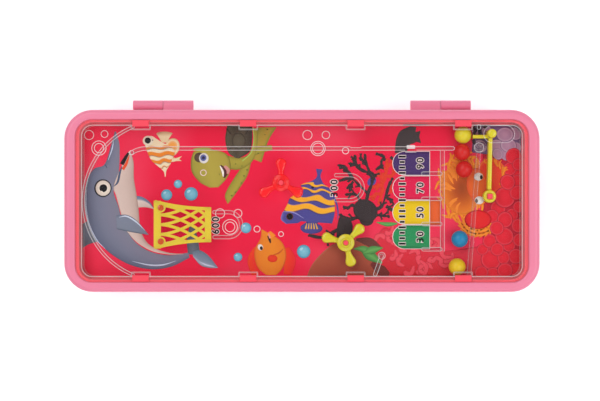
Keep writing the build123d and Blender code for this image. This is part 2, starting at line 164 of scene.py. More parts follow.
def lifted(plan: np.ndarray, level: float) -> np.ndarray:
    """Flat points given a height."""
    return np.concatenate([plan, np.full(plan.shape[:-1] + (1,), level)], -1)


def ribbon(points: Sequence[Place], widths: Sequence[float], level: float,
           count: int = 28, rows: int = 9) -> FlatShape:
    """A flat shape: place(u, v) = line(u) + v width(u) normal(u).

    Args:
        points: the middle line.
        widths: half widths, spread evenly along it.
        level: height.
        count: points along it.
        rows: points across it.

    Returns:
        The surface, and its u (0 to 1) and v (-1 to 1) as grids.
    """
    line = smooth_line(points, count)
    half = resample(widths, count)
    u, v = np.meshgrid(np.linspace(0, 1, count), np.linspace(-1, 1, rows), indexing="ij")
    plan = line[:, None] + (v * half[:, None])[..., None] * normals_of(line)[:, None]
    return lifted(plan, level), u, v


def between(left: Sequence[Place], right: Sequence[Place], level: float, count: int = 60,
            rows: int = 13) -> FlatShape:
    """A flat shape between two edges: ((1 - v) left(u) + (1 + v) right(u)) / 2.

    Args:
        left: points along one edge.
        right: points along the other, in the same direction.
        level: height.
        count: points along it.
        rows: points across it.

    Returns:
        The surface, and its u (0 to 1) and v (-1 to 1) as grids.
    """
    u, v = np.meshgrid(np.linspace(0, 1, count), np.linspace(-1, 1, rows), indexing="ij")
    a, b = smooth_line(left, count)[:, None], smooth_line(right, count)[:, None]
    return lifted(((1 - v)[..., None] * a + (1 + v)[..., None] * b) / 2, level), u, v


def disc(centre: Place, radii: Place, level: float, turn: float = 0.0, inner: float = 0.0,
         rings: int = 6, sides: int = 40) -> FlatShape:
    """A flat ellipse or ring: centre + s (a cos t, b sin t), turned.

    Args:
        centre: middle.
        radii: half length and half width.
        level: height.
        turn: degrees.
        inner: share of the radius where the ring starts, 0 for a disc.
        rings: points from the middle to the edge.
        sides: points round it.

    Returns:
        The surface, its share of the radius and its angle as a part of a turn.
    """
    s, t = np.meshgrid(np.linspace(inner, 1, rings), np.linspace(0, 1, sides + 1),
                       indexing="ij")
    x, y = s * radii[0] * np.cos(2 * np.pi * t), s * radii[1] * np.sin(2 * np.pi * t)
    c, n = math.cos(math.radians(turn)), math.sin(math.radians(turn))
    plan = np.stack([centre[0] + c * x - n * y, centre[1] + n * x + c * y], -1)
    return lifted(plan, level), s, t


def lathe(centre: Place, profile: np.ndarray, sides: int = 64) -> np.ndarray:
    """Turn a profile of (radius, height) about an upright axis.

    Args:
        centre: where the axis stands.
        profile: points from bottom to top.
        sides: points round it.

    Returns:
        The surface: centre + radius (cos t, sin t), height.
    """
    t = np.linspace(0, 2 * np.pi, sides + 1)
    radius, height = profile[:, :1], profile[:, 1:]
    return np.stack([centre[0] + radius * np.cos(t), centre[1] + radius * np.sin(t),
                     height + 0 * t], -1)


def bar(line: np.ndarray, half_width: np.ndarray, half_height: np.ndarray,
        square: float = 0.45, sides: int = 28) -> np.ndarray:
    """A solid bar along a line: a superellipse carried along it, closed at both ends.

    The section is (w |cos t|^k sign, h |sin t|^k sign), with k from nearly 0, a rectangle,
    to 1, an ellipse.

    Args:
        line: (n, 3) points.
        half_width: half width at each point, level and square to the line.
        half_height: half height at each point.
        square: k.
        sides: points round it.

    Returns:
        The surface, (n + 2, sides + 1, 3), its first and last rows closed to points.
    """
    t = np.linspace(0, 2 * np.pi, sides + 1)
    side = np.sign(np.cos(t)) * np.abs(np.cos(t)) ** square
    rise = np.sign(np.sin(t)) * np.abs(np.sin(t)) ** square
    normal = lifted(normals_of(line[:, :2]), 0.0)
    up = np.array([0.0, 0.0, 1.0])
    skin = (line[:, None] + (half_width[:, None] * side)[..., None] * normal[:, None]
            + (half_height[:, None] * rise)[..., None] * up)
    first = np.repeat(line[:1, None], sides + 1, axis=1)
    last = np.repeat(line[-1:, None], sides + 1, axis=1)
    return np.concatenate([first, skin, last])


def round_ends(count: int, end_share: float) -> np.ndarray:
    """A width factor that rounds both ends of a bar: sqrt(1 - (1 - d)^2) near each end.

    Args:
        count: points along the bar.
        end_share: part of the bar that each rounded end takes.

    Returns:
        The factor at each point.
    """
    u = np.linspace(0, 1, count)
    depth = np.clip(np.minimum(u, 1 - u) / end_share, 0, 1)
    return np.sqrt(np.clip(1 - (1 - depth) ** 2, 1e-4, 1))


def around(line: np.ndarray, left: np.ndarray, right: np.ndarray,
           end: float = 1.0) -> np.ndarray:
    """A closed loop round a flat line.

    It runs along line + left normal, round the end on c + r (e cos a d + sin a n) for a from
    90 to -90 degrees, back along line - right normal, and round the start.

    Args:
        line: (n, 2) points.
        left: distance kept to the left at each point.
        right: distance kept to the right at each point.
        end: e, 1 for round ends and nearly 0 for square ones.

    Returns:
        The loop, its last point the same as its first.
    """
    n = normals_of(line)
    d = np.stack([n[:, 1], -n[:, 0]], 1)
    swing = np.linspace(np.pi / 2, -np.pi / 2, 14)[1:-1, None]
    caps = []
    for index, way in ((-1, 1), (0, -1)):
        radius = (left[index] + right[index]) / 2
        centre = line[index] + n[index] * (left[index] - right[index]) / 2
        caps.append(centre + radius * way * (end * np.cos(swing) * d[index]
                                             + np.sin(swing) * n[index]))
    loop = np.concatenate([line + n * left[:, None], caps[0],
                           (line - n * right[:, None])[::-1], caps[1]])
    return np.concatenate([loop, loop[:1]])


def moulded(line: np.ndarray, left: np.ndarray, right: np.ndarray, low: float, high: float,
            draft: float = 0.42, end: float = 1.0,
            rim: float = RIM) -> tuple[np.ndarray, np.ndarray]:
    """A wall along a flat line, narrower at its foot, with a pale rim of painted highlight round
    its top.

    Args:
        line: (n, 2) points.
        left: half width to the left at each point, at the top.
        right: half width to the right at each point, at the top.
        low: level of the foot.
        high: level of the top.
        draft: how much each side draws in towards the foot.
        end: 1 for round ends and nearly 0 for square ones.
        rim: width of the pale rim of painted highlight.

    Returns:
        The closed surface, loops about the line stacked from foot to top, and the strength
        of the painted highlight at each point.
    """
    none = np.zeros(len(line))
    inner_left, inner_right = np.maximum(left - rim, 0.05), np.maximum(right - rim, 0.05)
    rows = ((none, none, low, 0.0), (left - draft - 0.12, right - draft - 0.12, low, 0.1),
            (left - draft, right - draft, low + 0.15, 0.1),
            (left, right, high - 0.05, 0.2), (left, right, high, 1.0),
            (inner_left, inner_right, high, 1.0),
            (inner_left * 0.97, inner_right * 0.97, high, 0.0), (none, none, high, 0.0))
    grid = np.stack([lifted(around(line, a, b, end), z) for a, b, z, _ in rows])
    return grid, painted_highlight_rows(grid, [row[3] for row in rows])


def painted_highlight_rows(grid: np.ndarray, rows: Sequence[float]) -> np.ndarray:
    """How strong the painted highlight is on each row of a surface, as grey."""
    return np.ones(grid.shape) * np.array(rows)[:, None, None]


def carry_ink(mesh: bpy.types.Mesh, colours: np.ndarray) -> None:
    """Give a mesh the colours of its points."""
    layer = mesh.color_attributes.new("ink", "FLOAT_COLOR", "POINT")
    layer.data.foreach_set("color", colours.ravel())


def hand_over(name: str, mesh: bpy.types.Mesh, body: str,
              replaces: Sequence[str] = (), ink: float = 0.0) -> bpy.types.Object:
    """Make a mesh a piece of the frame.

    Args:
        name: the piece's name.
        mesh: its mesh, in place.
        body: the frame's body that it moves with.
        replaces: frame nodes that it stands for.
        ink: thickness of a printed shape in millimetres, or 0 for a closed solid.

    Returns:
        The object.
    """
    piece = bpy.data.objects.new(name, mesh)
    bpy.context.scene.collection.objects.link(piece)
    if ink:
        piece.modifiers.new("ink", "SOLIDIFY").thickness = ink * MM
    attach(piece, body)
    if replaces:
        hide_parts(*replaces)
    LOG.info("%s: %d faces", name, len(mesh.polygons))
    return piece


class Skin:
    """Surfaces gathered into one mesh, each with its paint."""

    def __init__(self) -> None:
        """Start with nothing."""
        self.points: list[np.ndarray] = []
        self.paints: list[np.ndarray] = []
        self.faces: list[np.ndarray] = []
        self.count = 0

    def add(self, grid: np.ndarray, paint: np.ndarray | None = None) -> None:
        """Add a surface.

        Args:
            grid: (rows, columns, 3) points in millimetres.
            paint: a colour at each point, or None for white.
        """
        rows, columns = grid.shape[:2]
        first = np.arange(rows * columns).reshape(rows, columns)[:-1, :-1].ravel() + self.count
        self.faces.append(np.stack([first, first + columns, first + columns + 1, first + 1], 1))
        self.points.append(grid.reshape(-1, 3) * MM)
        colours = np.ones((rows * columns, 4))
        if paint is not None:
            colours[:, :3] = paint.reshape(-1, 3)
        self.paints.append(colours)
        self.count += rows * columns

    def add_flat(self, shape: FlatShape, paint: str | Painter) -> None:
        """Add a flat painted shape, spread, kept on the card and turned to face up."""
        painter = flat(paint) if isinstance(paint, str) else paint
        grid, u, v = shape
        grid = grid * np.array([ART_SPREAD, ART_SPREAD, 1])
        grid[..., :2] = np.clip(grid[..., :2], np.negative(ART_EDGE), ART_EDGE)
        a, b = grid[1, 0] - grid[0, 0], grid[0, 1] - grid[0, 0]
        if np.linalg.norm(b) < 1e-9:
            a, b = grid[-1, 0] - grid[-2, 0], grid[-1, 1] - grid[-1, 0]
        if a[0] * b[1] - a[1] * b[0] < 0:
            grid, u, v = grid[:, ::-1], u[:, ::-1], v[:, ::-1]
        self.add(grid, painter(u, v))

    def build(self, name: str, body: str, slot: str, material: bpy.types.Material,
              replaces: Sequence[str] = (), ink: float = 0.0) -> bpy.types.Object:
        """Make the piece and hand it to the frame.

        Args:
            name: the piece's name.
            body: the frame's body that it moves with.
            slot: the record's material slot; not used.
            material: its finish.
            replaces: frame nodes that it stands for.
            ink: thickness of a printed shape in millimetres, or 0 for a closed solid.

        Returns:
            The object.
        """
        mesh = bpy.data.meshes.new(name)
        mesh.from_pydata(np.concatenate(self.points), [], np.concatenate(self.faces))
        carry_ink(mesh, np.concatenate(self.paints))
        cleaned = bmesh.new()
        cleaned.from_mesh(mesh)
        bmesh.ops.remove_doubles(cleaned, verts=cleaned.verts, dist=WELD * MM)
        bmesh.ops.dissolve_degenerate(cleaned, edges=cleaned.edges, dist=TINY * MM)
        if not ink:
            bmesh.ops.recalc_face_normals(cleaned, faces=cleaned.faces)
        cleaned.to_mesh(mesh)
        cleaned.free()
        mesh.shade_smooth()
        mesh.materials.append(material)
        return hand_over(name, mesh, body, replaces, ink)


# ------------------------------------------------------------------ shader nodes
def put(socket: bpy.types.NodeSocket, value: Value) -> None:
    """Link a socket to another, or give it a number or colour; None leaves it alone."""
    if isinstance(value, bpy.types.NodeSocket):
        socket.id_data.links.new(value, socket)
    elif value is not None:
        socket.default_value = value


def set_inputs(node: bpy.types.Node, **values: Value) -> None:
    """Fill a node's inputs by name, with _ for a space."""
    for name, value in values.items():
        put(node.inputs[name.replace("_", " ")], value)


def add_node(tree: bpy.types.NodeTree, kind: str, *values: Value, operation: str = "",
             **named: Value) -> bpy.types.Node:
    """Add a shader node and fill its inputs.

    Args:
        tree: where it goes.
        kind: its type, without "ShaderNode".
        values: its inputs in order.
        operation: what a Math or Vector Math node works out.
        named: its inputs by name, with _ for a space.

    Returns:
        The node.
    """
    node = tree.nodes.new(f"ShaderNode{kind}")
    if operation:
        node.operation = operation
    for socket, value in zip(node.inputs, values):
        put(socket, value)
    set_inputs(node, **named)
    return node


def maths(tree: bpy.types.NodeTree, operation: str, *values: Value) -> bpy.types.NodeSocket:
    """Do one step of arithmetic on sockets or numbers."""
    return add_node(tree, "Math", *values, operation=operation).outputs[0]


def object_noise(tree: bpy.types.NodeTree, scale: Value, detail: float) -> bpy.types.NodeSocket:
    """Noise on the object's own coordinates."""
    where = add_node(tree, "TexCoord").outputs["Object"]
    return add_node(tree, "TexNoise", Vector=where, Scale=scale, Detail=detail).outputs["Fac"]


# ------------------------------------------------------------------ shader groups
class Effect(Enum):
    """Shader groups that more than one finish uses."""

    DRIFT = "colour_drift"
    GRAIN = "moulding_grain"
    HANDLING = "handling_marks"


def new_group(effect: Effect, **inputs: float | None
              ) -> tuple[bpy.types.NodeTree, bpy.types.NodeOutputs]:
    """Start a shader group.

    Args:
        effect: which group.
        inputs: name and default of each input, None for a colour.

    Returns:
        The tree, and its inputs by name.
    """
    tree = bpy.data.node_groups.new(effect.value, "ShaderNodeTree")
    for name, default in inputs.items():
        kind = "NodeSocketColor" if default is None else "NodeSocketFloat"
        socket = tree.interface.new_socket(name, in_out="INPUT", socket_type=kind)
        if default is not None:
            socket.default_value = default
    return tree, tree.nodes.new("NodeGroupInput").outputs


def end_group(tree: bpy.types.NodeTree, name: str, kind: str,
              value: bpy.types.NodeSocket) -> None:
    """Give a shader group its one output, of the socket type kind."""
    tree.interface.new_socket(name, in_out="OUTPUT", socket_type=kind)
    put(tree.nodes.new("NodeGroupOutput").inputs[name], value)


def build_drift() -> None:
    """Colour drift: the colour times 1 + amount (noise - 0.5)."""
    tree, given = new_group(Effect.DRIFT, Colour=None, Scale=20.0, Amount=0.1)
    centred = maths(tree, "SUBTRACT", object_noise(tree, given["Scale"], 4.0), 0.5)
    strength = maths(tree, "MULTIPLY_ADD", centred, given["Amount"], 1.0)
    scaled = add_node(tree, "VectorMath", given["Colour"], operation="SCALE", Scale=strength)
    end_group(tree, "Colour", "NodeSocketColor", scaled.outputs[0])


def build_grain() -> None:
    """Moulding grain: slow waves plus 0.35 of a fine noise, as a height."""
    tree, given = new_group(Effect.GRAIN, Scale=900.0, Sink=60.0)
    fine = object_noise(tree, given["Scale"], 2.0)
    slow = object_noise(tree, given["Sink"], 1.0)
    end_group(tree, "Height", "NodeSocketFloat", maths(tree, "MULTIPLY_ADD", fine, 0.35, slow))


def build_handling() -> None:
    """Handling marks: a roughness that strays from its base where hands have rubbed."""
    tree, given = new_group(Effect.HANDLING, Base=0.3, Spread=0.1, Scale=45.0)
    noise = object_noise(tree, given["Scale"], 5.0)
    end_group(tree, "Roughness", "NodeSocketFloat",
              maths(tree, "MULTIPLY_ADD", noise, given["Spread"], given["Base"]))


def place_group(tree: bpy.types.NodeTree, effect: Effect, **values: Value
                ) -> bpy.types.NodeSocket:
    """Put a shader group into a material with its own values, for its output."""
    node = tree.nodes.new("ShaderNodeGroup")
    node.node_tree = bpy.data.node_groups[effect.value]
    set_inputs(node, **values)
    return node.outputs[0]


# ------------------------------------------------------------------ finishes
def blank_material(name: str) -> tuple[bpy.types.Material, bpy.types.Node]:
    """A new material and its Principled shader."""
    material = bpy.data.materials.new(name)
    material.use_nodes = True
    return material, material.node_tree.nodes["Principled BSDF"]


def fill_shader(shader: bpy.types.Node, colour: Value, drift: Place, marks: Place,
                marks_scale: float = 45.0, **inputs: Value) -> None:
    """Give a Principled shader a colour that drifts and a roughness that strays.

    Args:
        shader: the shader.
        colour: its colour, or the socket that gives it.
        drift: scale and amount of the drift.
        marks: base and spread of the roughness.
        marks_scale: scale of the handling marks.
        inputs: its other inputs by name, with _ for a space.
    """
    tree = shader.id_data
    base = place_group(tree, Effect.DRIFT, Colour=colour, Scale=drift[0], Amount=drift[1])
    rough = place_group(tree, Effect.HANDLING, Base=marks[0], Spread=marks[1],
                        Scale=marks_scale)
    set_inputs(shader, Base_Color=base, Roughness=rough, **inputs)


def add_bump(shader: bpy.types.Node, height: float, scale: float) -> None:
    """Give a shader the grain of a moulded surface, its height in millimetres."""
    tree = shader.id_data
    grain = place_group(tree, Effect.GRAIN, Scale=scale, Sink=scale / 20)
    bump = add_node(tree, "Bump", Height=grain, Distance=height * MM, Strength=0.6)
    put(shader.inputs["Normal"], bump.outputs["Normal"])


def steepness(tree: bpy.types.NodeTree) -> bpy.types.NodeSocket:
    """How far from face on a surface is seen, from 0 to 1."""
    return add_node(tree, "LayerWeight", 0.5).outputs["Facing"]


def see_through(shader: bpy.types.Node, tint: Colour, solid: bpy.types.NodeSocket) -> None:
    """Let light pass a surface, tinted, but for the share of it that is solid."""
    tree = shader.id_data
    clear = add_node(tree, "BsdfTransparent", (*tint, 1))
    mix = add_node(tree, "MixShader", solid, clear.outputs[0], shader.outputs[0])
    put(tree.nodes["Material Output"].inputs["Surface"], mix.outputs[0])


def read_ink(tree: bpy.types.NodeTree) -> bpy.types.Node:
    """Read the colours that a mesh carries."""
    ink = add_node(tree, "Attribute")
    ink.attribute_name = "ink"
    return ink


@dataclass(frozen=True)
class MouldedPlastic:
    """Opaque or slightly milky moulded plastic."""

    name: str
    colour: str
    roughness: float = 0.3
    grain: float = 0.01
    coat: float = 0.0
    milk: float = 0.0
    drift: float = 0.08
    shine: float = 0.5

    def make(self) -> bpy.types.Material:
        """Build the material.

        Returns:
            The material.
        """
        material, shader = blank_material(self.name)
        fill_shader(shader, opaque(self.colour), (35.0, self.drift),
                    (self.roughness - 0.05, 0.1), Specular_IOR_Level=self.shine,
                    Coat_Weight=self.coat, Coat_Roughness=0.08, Subsurface_Weight=self.milk,
                    Subsurface_Radius=(2.0 * MM, 1.2 * MM, 1.0 * MM), Subsurface_Scale=1.0)
        add_bump(shader, self.grain, 700.0)
        return material


@dataclass(frozen=True)
class TintedPlastic:
    """Coloured plastic that lets part of the light through."""

    name: str
    colour: str
    body: float = 0.6
    rim: float = 0.4
    tint: Colour = (1, 0.75, 0.75)

    def make(self) -> bpy.types.Material:
        """Mix see-through and solid colour by how steeply the surface is seen.

        Returns:
            The material.
        """
        material, shader = blank_material(self.name)
        tree = material.node_tree
        fill_shader(shader, opaque(self.colour), (80.0, 0.1), (0.1, 0.08))
        see_through(shader, self.tint,
                    maths(tree, "MULTIPLY_ADD", steepness(tree), self.rim, self.body))
        return material


@dataclass(frozen=True)
class Print:
    """Ink on coated card, its colours from the piece's own attribute."""

    name: str
    roughness: float = 0.35
    shine: float = 0.12

    def make(self) -> bpy.types.Material:
        """Build the material.

        Returns:
            The material.
        """
        material, shader = blank_material(self.name)
        fill_shader(shader, read_ink(material.node_tree).outputs["Color"], (1400.0, 0.12),
                    (self.roughness, 0.06), Specular_IOR_Level=self.shine)
        return material


@dataclass(frozen=True)
class CardGround:
    """The card's printed ground: crimson with soft lighter clouds."""

    name: str = "card_ground"
    ground: str = "E4173F"
    cloud: str = "EA3F5C"
    cloud_span: Place = (0.45, 0.75)
    shine: float = 0.12

    def make(self) -> bpy.types.Material:
        """Build the material.

        Returns:
            The material.
        """
        material, shader = blank_material(self.name)
        tree = material.node_tree
        ramp = add_node(tree, "ValToRGB", object_noise(tree, 22.0, 1.5))
        for stop, place, code in zip(ramp.color_ramp.elements, self.cloud_span,
                                     (self.ground, self.cloud)):
            stop.position = place
            stop.color = opaque(code)
        fill_shader(shader, ramp.outputs["Color"], (1400.0, 0.1), (0.35, 0.06),
                    Specular_IOR_Level=self.shine)
        return material


@dataclass(frozen=True)
class ClearPlastic:
    """Clear moulded plastic: bright where its faces are seen edge on, else see-through.

    Each outline is a rounded rectangle in plan: its middle, its half sizes, its corner radius,
    and whether it is a wall. A painted highlight line runs along each outline, and the surface
    outside a wall gets a painted lightening.
    """

    name: str = "clear_moulding"
    face: float = 0.004
    edge: float = 0.16
    power: float = 3.0
    # Share of pale plastic where the mesh marks a rim: a painted highlight along the clear walls'
    # tops.
    painted_highlight: float = 0.5
    # Share of pale plastic outside a wall: a painted lightening of the wall's band.
    painted_wall_light: float = 0.045
    outlines: tuple[tuple[Place, Place, float, bool], ...] = ()
    line: float = 0.14
    line_share: float = 0.8
    colour: Colour = (0.95, 0.93, 0.93)
    tint: Colour = (0.99, 0.985, 0.985)

    def distance(self, tree: bpy.types.NodeTree, centre: Place, half: Place,
                 corner: float) -> bpy.types.NodeSocket:
        """Signed distance, in millimetres, outwards from a rounded rectangle in plan.

        With q = |p - centre| - half + corner, it is |max(q, 0)| + min(max(qx, qy), 0) - corner.

        Args:
            tree: the material's nodes.
            centre: middle of the rectangle.
            half: half its length and half its width.
            corner: its corner radius.

        Returns:
            The distance's socket.
        """
        value = add_node(tree, "TexCoord").outputs["Object"]
        far_below = 1e3
        for kind, second in (("MULTIPLY", (1 / MM, 1 / MM, 0)), ("SUBTRACT", (*centre, 0)),
                             ("ABSOLUTE", None),
                             ("SUBTRACT", (half[0] - corner, half[1] - corner, far_below))):
            value = add_node(tree, "VectorMath", value, second, operation=kind).outputs[0]
        beyond = add_node(tree, "VectorMath", value, (0, 0, 0), operation="MAXIMUM")
        outside = add_node(tree, "VectorMath", beyond.outputs[0], operation="LENGTH")
        parts = add_node(tree, "SeparateXYZ", value).outputs
        inside = maths(tree, "MINIMUM", maths(tree, "MAXIMUM", parts[0], parts[1]), 0.0)
        total = maths(tree, "ADD", outside.outputs["Value"], inside)
        return maths(tree, "SUBTRACT", total, corner)

    def add_outlines(self, tree: bpy.types.NodeTree, total: bpy.types.NodeSocket
                     ) -> bpy.types.NodeSocket:
        """Paint a highlight line along each outline, and paint light over what lies outside a
        wall.
        """
        normal = add_node(tree, "SeparateXYZ", add_node(tree, "TexCoord").outputs["Normal"])
        level = maths(tree, "ABSOLUTE", normal.outputs[2])
        for centre, half, corner, is_wall in self.outlines:
            away = self.distance(tree, centre, half, corner)
            near = maths(tree, "LESS_THAN", maths(tree, "ABSOLUTE", away), self.line)
            # A painted highlight line along the outline.
            shine = maths(tree, "MULTIPLY", near, self.line_share * self.painted_highlight)
            if is_wall:
                # Painted lightening outside a wall.
                beyond = maths(tree, "GREATER_THAN", away, 0.0)
                shine = maths(tree, "MULTIPLY_ADD", beyond, self.painted_wall_light, shine)
            total = maths(tree, "MULTIPLY_ADD", shine, level, total)
        return total

    def make(self) -> bpy.types.Material:
        """Mix see-through and pale plastic: face + edge steepness^power + painted highlight mask.

        Returns:
            The material.
        """
        material, shader = blank_material(self.name)
        tree = material.node_tree
        fill_shader(shader, (*self.colour, 1), (60.0, 0.05), (0.04, 0.08))
        steep = maths(tree, "POWER", steepness(tree), self.power)
        share = maths(tree, "MULTIPLY_ADD", steep, self.edge, self.face)
        # The mesh's ink attribute holds the painted highlight mask.
        total = maths(tree, "MULTIPLY_ADD", read_ink(tree).outputs["Fac"], self.painted_highlight, share)
        see_through(shader, self.tint, self.add_outlines(tree, total))
        return material


@dataclass(frozen=True)
class BareMetal:
    """Drawn steel wire or dull ferrite."""

    name: str
    colour: str
    roughness: float
    metallic: float

    def make(self) -> bpy.types.Material:
        """Build the material.

        Returns:
            The material.
        """
        material, shader = blank_material(self.name)
        fill_shader(shader, opaque(self.colour), (300.0, 0.2), (self.roughness, 0.15), 400.0,
                    Metallic=self.metallic)
        add_bump(shader, 0.01, 900.0)
        return material


# ------------------------------------------------------------------ sub-assemblies
def middle(node: str) -> np.ndarray:
    """The middle of a frame node's box, in millimetres."""
    low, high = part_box(node)
    return (np.array(low) + np.array(high)) / 2 / MM


def top_of(node: str) -> float:
    """The highest level of a frame node, in millimetres."""
    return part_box(node)[1][2] / MM


def dress(nodes: dict[str, bpy.types.Object], names: Sequence[str],
          material: bpy.types.Material) -> None:
    """Give frame nodes a finish."""
    for name in names:
        mesh = nodes[name].data
        mesh.materials.clear()
        mesh.materials.append(material)
        LOG.info("%s: dressed in %s", name, material.name)


@dataclass
class Case:
    """The shells, hinges, catch and game tray."""

    pink: MouldedPlastic = MouldedPlastic("pink_shell", "EA809E", 0.36, 0.012, 0.0, 0.12, 0.05)
    red: MouldedPlastic = MouldedPlastic("tray_red", "F5475A", 0.3, 0.01, 0.0, 0.05)
    steel: BareMetal = BareMetal("drawn_steel", "C9CBD0", 0.25, 1.0)
    ferrite: BareMetal = BareMetal("ferrite", "3A3A3D", 0.6, 0.2)

    def dress(self, nodes: dict[str, bpy.types.Object]) -> None:
        """Dress the frame's own nodes."""
        dress(nodes, ("base_shell", "lid_shell"), self.pink.make())
        dress(nodes, ("game_tray",), self.red.make())
        dress(nodes, ("hinge_pin_left", "hinge_pin_right", "catch_plate"), self.steel.make())
        dress(nodes, ("catch_magnet",), self.ferrite.make())


@dataclass
class ClearParts:
    """The cover, and the drafted walls and rails moulded under it.

    Paths are in the frame's axes; levels come from the frame's own nodes.
    """

    clear: ClearPlastic = ClearPlastic()
    rail_y: float = 26.5
    rail_span: Place = (76.13, -78.5)
    rail_post: Place = (-86.0, 24.3)
    rail_half: float = 1.05
    block_span: Place = (52.2, 57.8)
    notch_span: Place = (24.4, 30.0)
    arc_centre: Place = (-69.85, 0.0)
    arc_radius: float = 40.4
    arc_swing: float = 67.6
    arc_half: float = 0.8
    rack_x: Place = (69.8, 72.1)
    rack_tip: float = 61.35
    rack_pitch: float = 12.725
    divider_half: float = 1.07
    pocket_bend: float = 6.3
    pocket_arm: float = 7.1
    pocket_half: float = 1.0
    gutter: tuple[Place, Place] = ((84.4, -37.05), (89.45, 26.95))
    gutter_half: float = 1.1
    gutter_head: float = 2.5
    deflector: tuple[Place, Place] = ((37.0, -37.1), (40.3, -27.7))
    deflector_head: float = 1.9
    stop: tuple[Place, Place] = ((89.4, 38.1), (89.4, 36.6))
    wall_inside: tuple[float, float, float] = (111.1, 38.2, 5.5)
    slot: tuple[Place, Place] = ((99.5, 33.675), (7.7, 4.25))
    block_half: float = 2.1
    notch_half: float = 0.5
    pad_inset: float = 0.9
    pad_half: float = 0.95
    clip_x: tuple[float, ...] = (-81.3, -27.1, 27.1, 81.3)
    clip_half: float = 4.6
    clip_span: Place = (38.1, 36.1)
    clip_wall: float = 0.38
    clip_depth: float = 1.1
    # Strengths of the painted highlight on the clip frames and on the rail's pad.
    clip_shine: float = 0.55
    pad_shine: float = 0.85
    pad_shift: float = 0.75
    post_radius: float = 1.3
    stop_half: float = 0.98
    clearance: float = 0.02
    low: float = 0.0
    high: float = 0.0

    def dress(self, nodes: dict[str, bpy.types.Object]) -> None:
        """Dress the cover and build the rest."""
        material = self.clear.make()
        *wall, round_corner = self.wall_inside
        # The cover's outlines paint a highlight line along its wall and its slot, and paint light
        # over the wall's band.
        lined = replace(self.clear, name="clear_cover_moulding", outlines=(
            ((0.0, 0.0), tuple(wall), round_corner, True),
            (*self.slot, self.slot[1][1], False)))
        dress(nodes, ("clear_cover",), lined.make())
        nodes["clear_cover"].visible_shadow = False
        self.low, top = (corner[2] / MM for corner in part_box("lane_rail"))
        self.high = top - self.clearance
        for name, make in (("lane_rail", self.lane_rail), ("arc_guide", self.arc_guide),
                           ("score_rack", self.score_rack), ("pocket_600", self.pocket),
                           ("pocket_300", self.pocket), ("gutter_rail", self.gutter_rail),
                           ("deflector", self.deflector_rail), ("lane_stop", self.lane_stop)):
            skin = Skin()
            make(skin, name)
            piece = skin.build(f"{name}_moulding", "lid", "clear_plastic", material, (name,))
            piece.visible_shadow = False
        skin = Skin()
        self.clip_frames(skin)
        frames = skin.build("cover_clip_frames", "lid", "clear_plastic", material)
        frames.visible_shadow = False

    def rail(self, skin: Skin, line: np.ndarray, half: float, end: float = 1.0,
             shine: float = 1.0) -> None:
        """Add one rail of even width, from foot to cover, its painted highlight scaled by shine.
        """
        width = np.full(len(line), half)
        grid, painted_highlight = moulded(line, width, width, self.low, self.high, end=end)
        skin.add(grid, painted_highlight * shine)

    def post(self, skin: Skin, centre: Place, radius: float) -> None:
        """Add a drafted round post, from foot to cover, with a painted highlight round its top."""
        profile = np.array([(0, self.low), (radius - 0.5, self.low),
                            (radius - 0.4, self.low + 0.15), (radius, self.high - 0.05),
                            (radius, self.high), (radius - RIM, self.high),
                            (radius - RIM - 0.03, self.high), (0, self.high)])
        grid = lathe(centre, profile, 40)
        skin.add(grid, painted_highlight_rows(grid, (0, 0.1, 0.1, 0.2, 1, 1, 0, 0)))

    def lane_rail(self, skin: Skin, name: str) -> None:
        """The rail along the lane, with its block, its notch and its curved end."""
        straight = np.linspace(self.rail_span[0], self.rail_span[1], 520)
        drop = np.linspace(0, 1, 24)[1:]
        tail_x = self.rail_span[1] + drop * (self.rail_post[0] - self.rail_span[1])
        tail_y = self.rail_y + drop ** 2 * (self.rail_post[1] - self.rail_y)
        line = np.stack([np.concatenate([straight, tail_x]),
                         np.concatenate([np.full(520, self.rail_y), tail_y])], 1)
        x = line[:, 0]
        in_block = (x > self.block_span[0]) & (x < self.block_span[1])
        in_notch = (x > self.notch_span[0]) & (x < self.notch_span[1])
        left = np.where(in_block, self.block_half, self.rail_half)
        right = np.where(in_notch, self.notch_half, self.rail_half)
        skin.add(*moulded(line, left, right, self.low, self.high))
        pad_y = self.rail_y + self.pad_shift
        pad_line = np.linspace((self.block_span[0] + self.pad_inset, pad_y),
                               (self.block_span[1] - self.pad_inset, pad_y), 8)
        pad = np.full(8, self.pad_half)
        grid, painted_highlight = moulded(pad_line, pad, pad, self.high - 0.5, self.high + 0.01, 0.1, 0.3)
        # The pad is pale all over: the painted highlight mask is set to pad_shine everywhere.
        skin.add(grid, np.full_like(painted_highlight, self.pad_shine))
        self.post(skin, self.rail_post, self.post_radius)

    def arc_guide(self, skin: Skin, name: str) -> None:
        """The arc that turns a ball back at the far end."""
        swing = np.radians(np.linspace(180 - self.arc_swing, 180 + self.arc_swing, 90))
        line = np.stack([self.arc_centre[0] + self.arc_radius * np.cos(swing),
                         self.arc_centre[1] + self.arc_radius * np.sin(swing)], 1)
        self.rail(skin, line, self.arc_half)

    def score_rack(self, skin: Skin, name: str) -> None:
        """The rack: a back wall and four dividers."""
        middle_x = sum(self.rack_x) / 2
        low_y, high_y = (corner[1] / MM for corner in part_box(name))
        line = np.linspace((middle_x, low_y + 0.1), (middle_x, high_y - 0.1), 12)
        self.rail(skin, line, (self.rack_x[1] - self.rack_x[0]) / 2, 0.05, 0.7)
        for number in range(1, 5):
            y = self.rail_y - number * self.rack_pitch
            self.rail(skin, np.linspace((self.rack_x[0], y), (self.rack_tip, y), 12),
                      self.divider_half, shine=0.8)

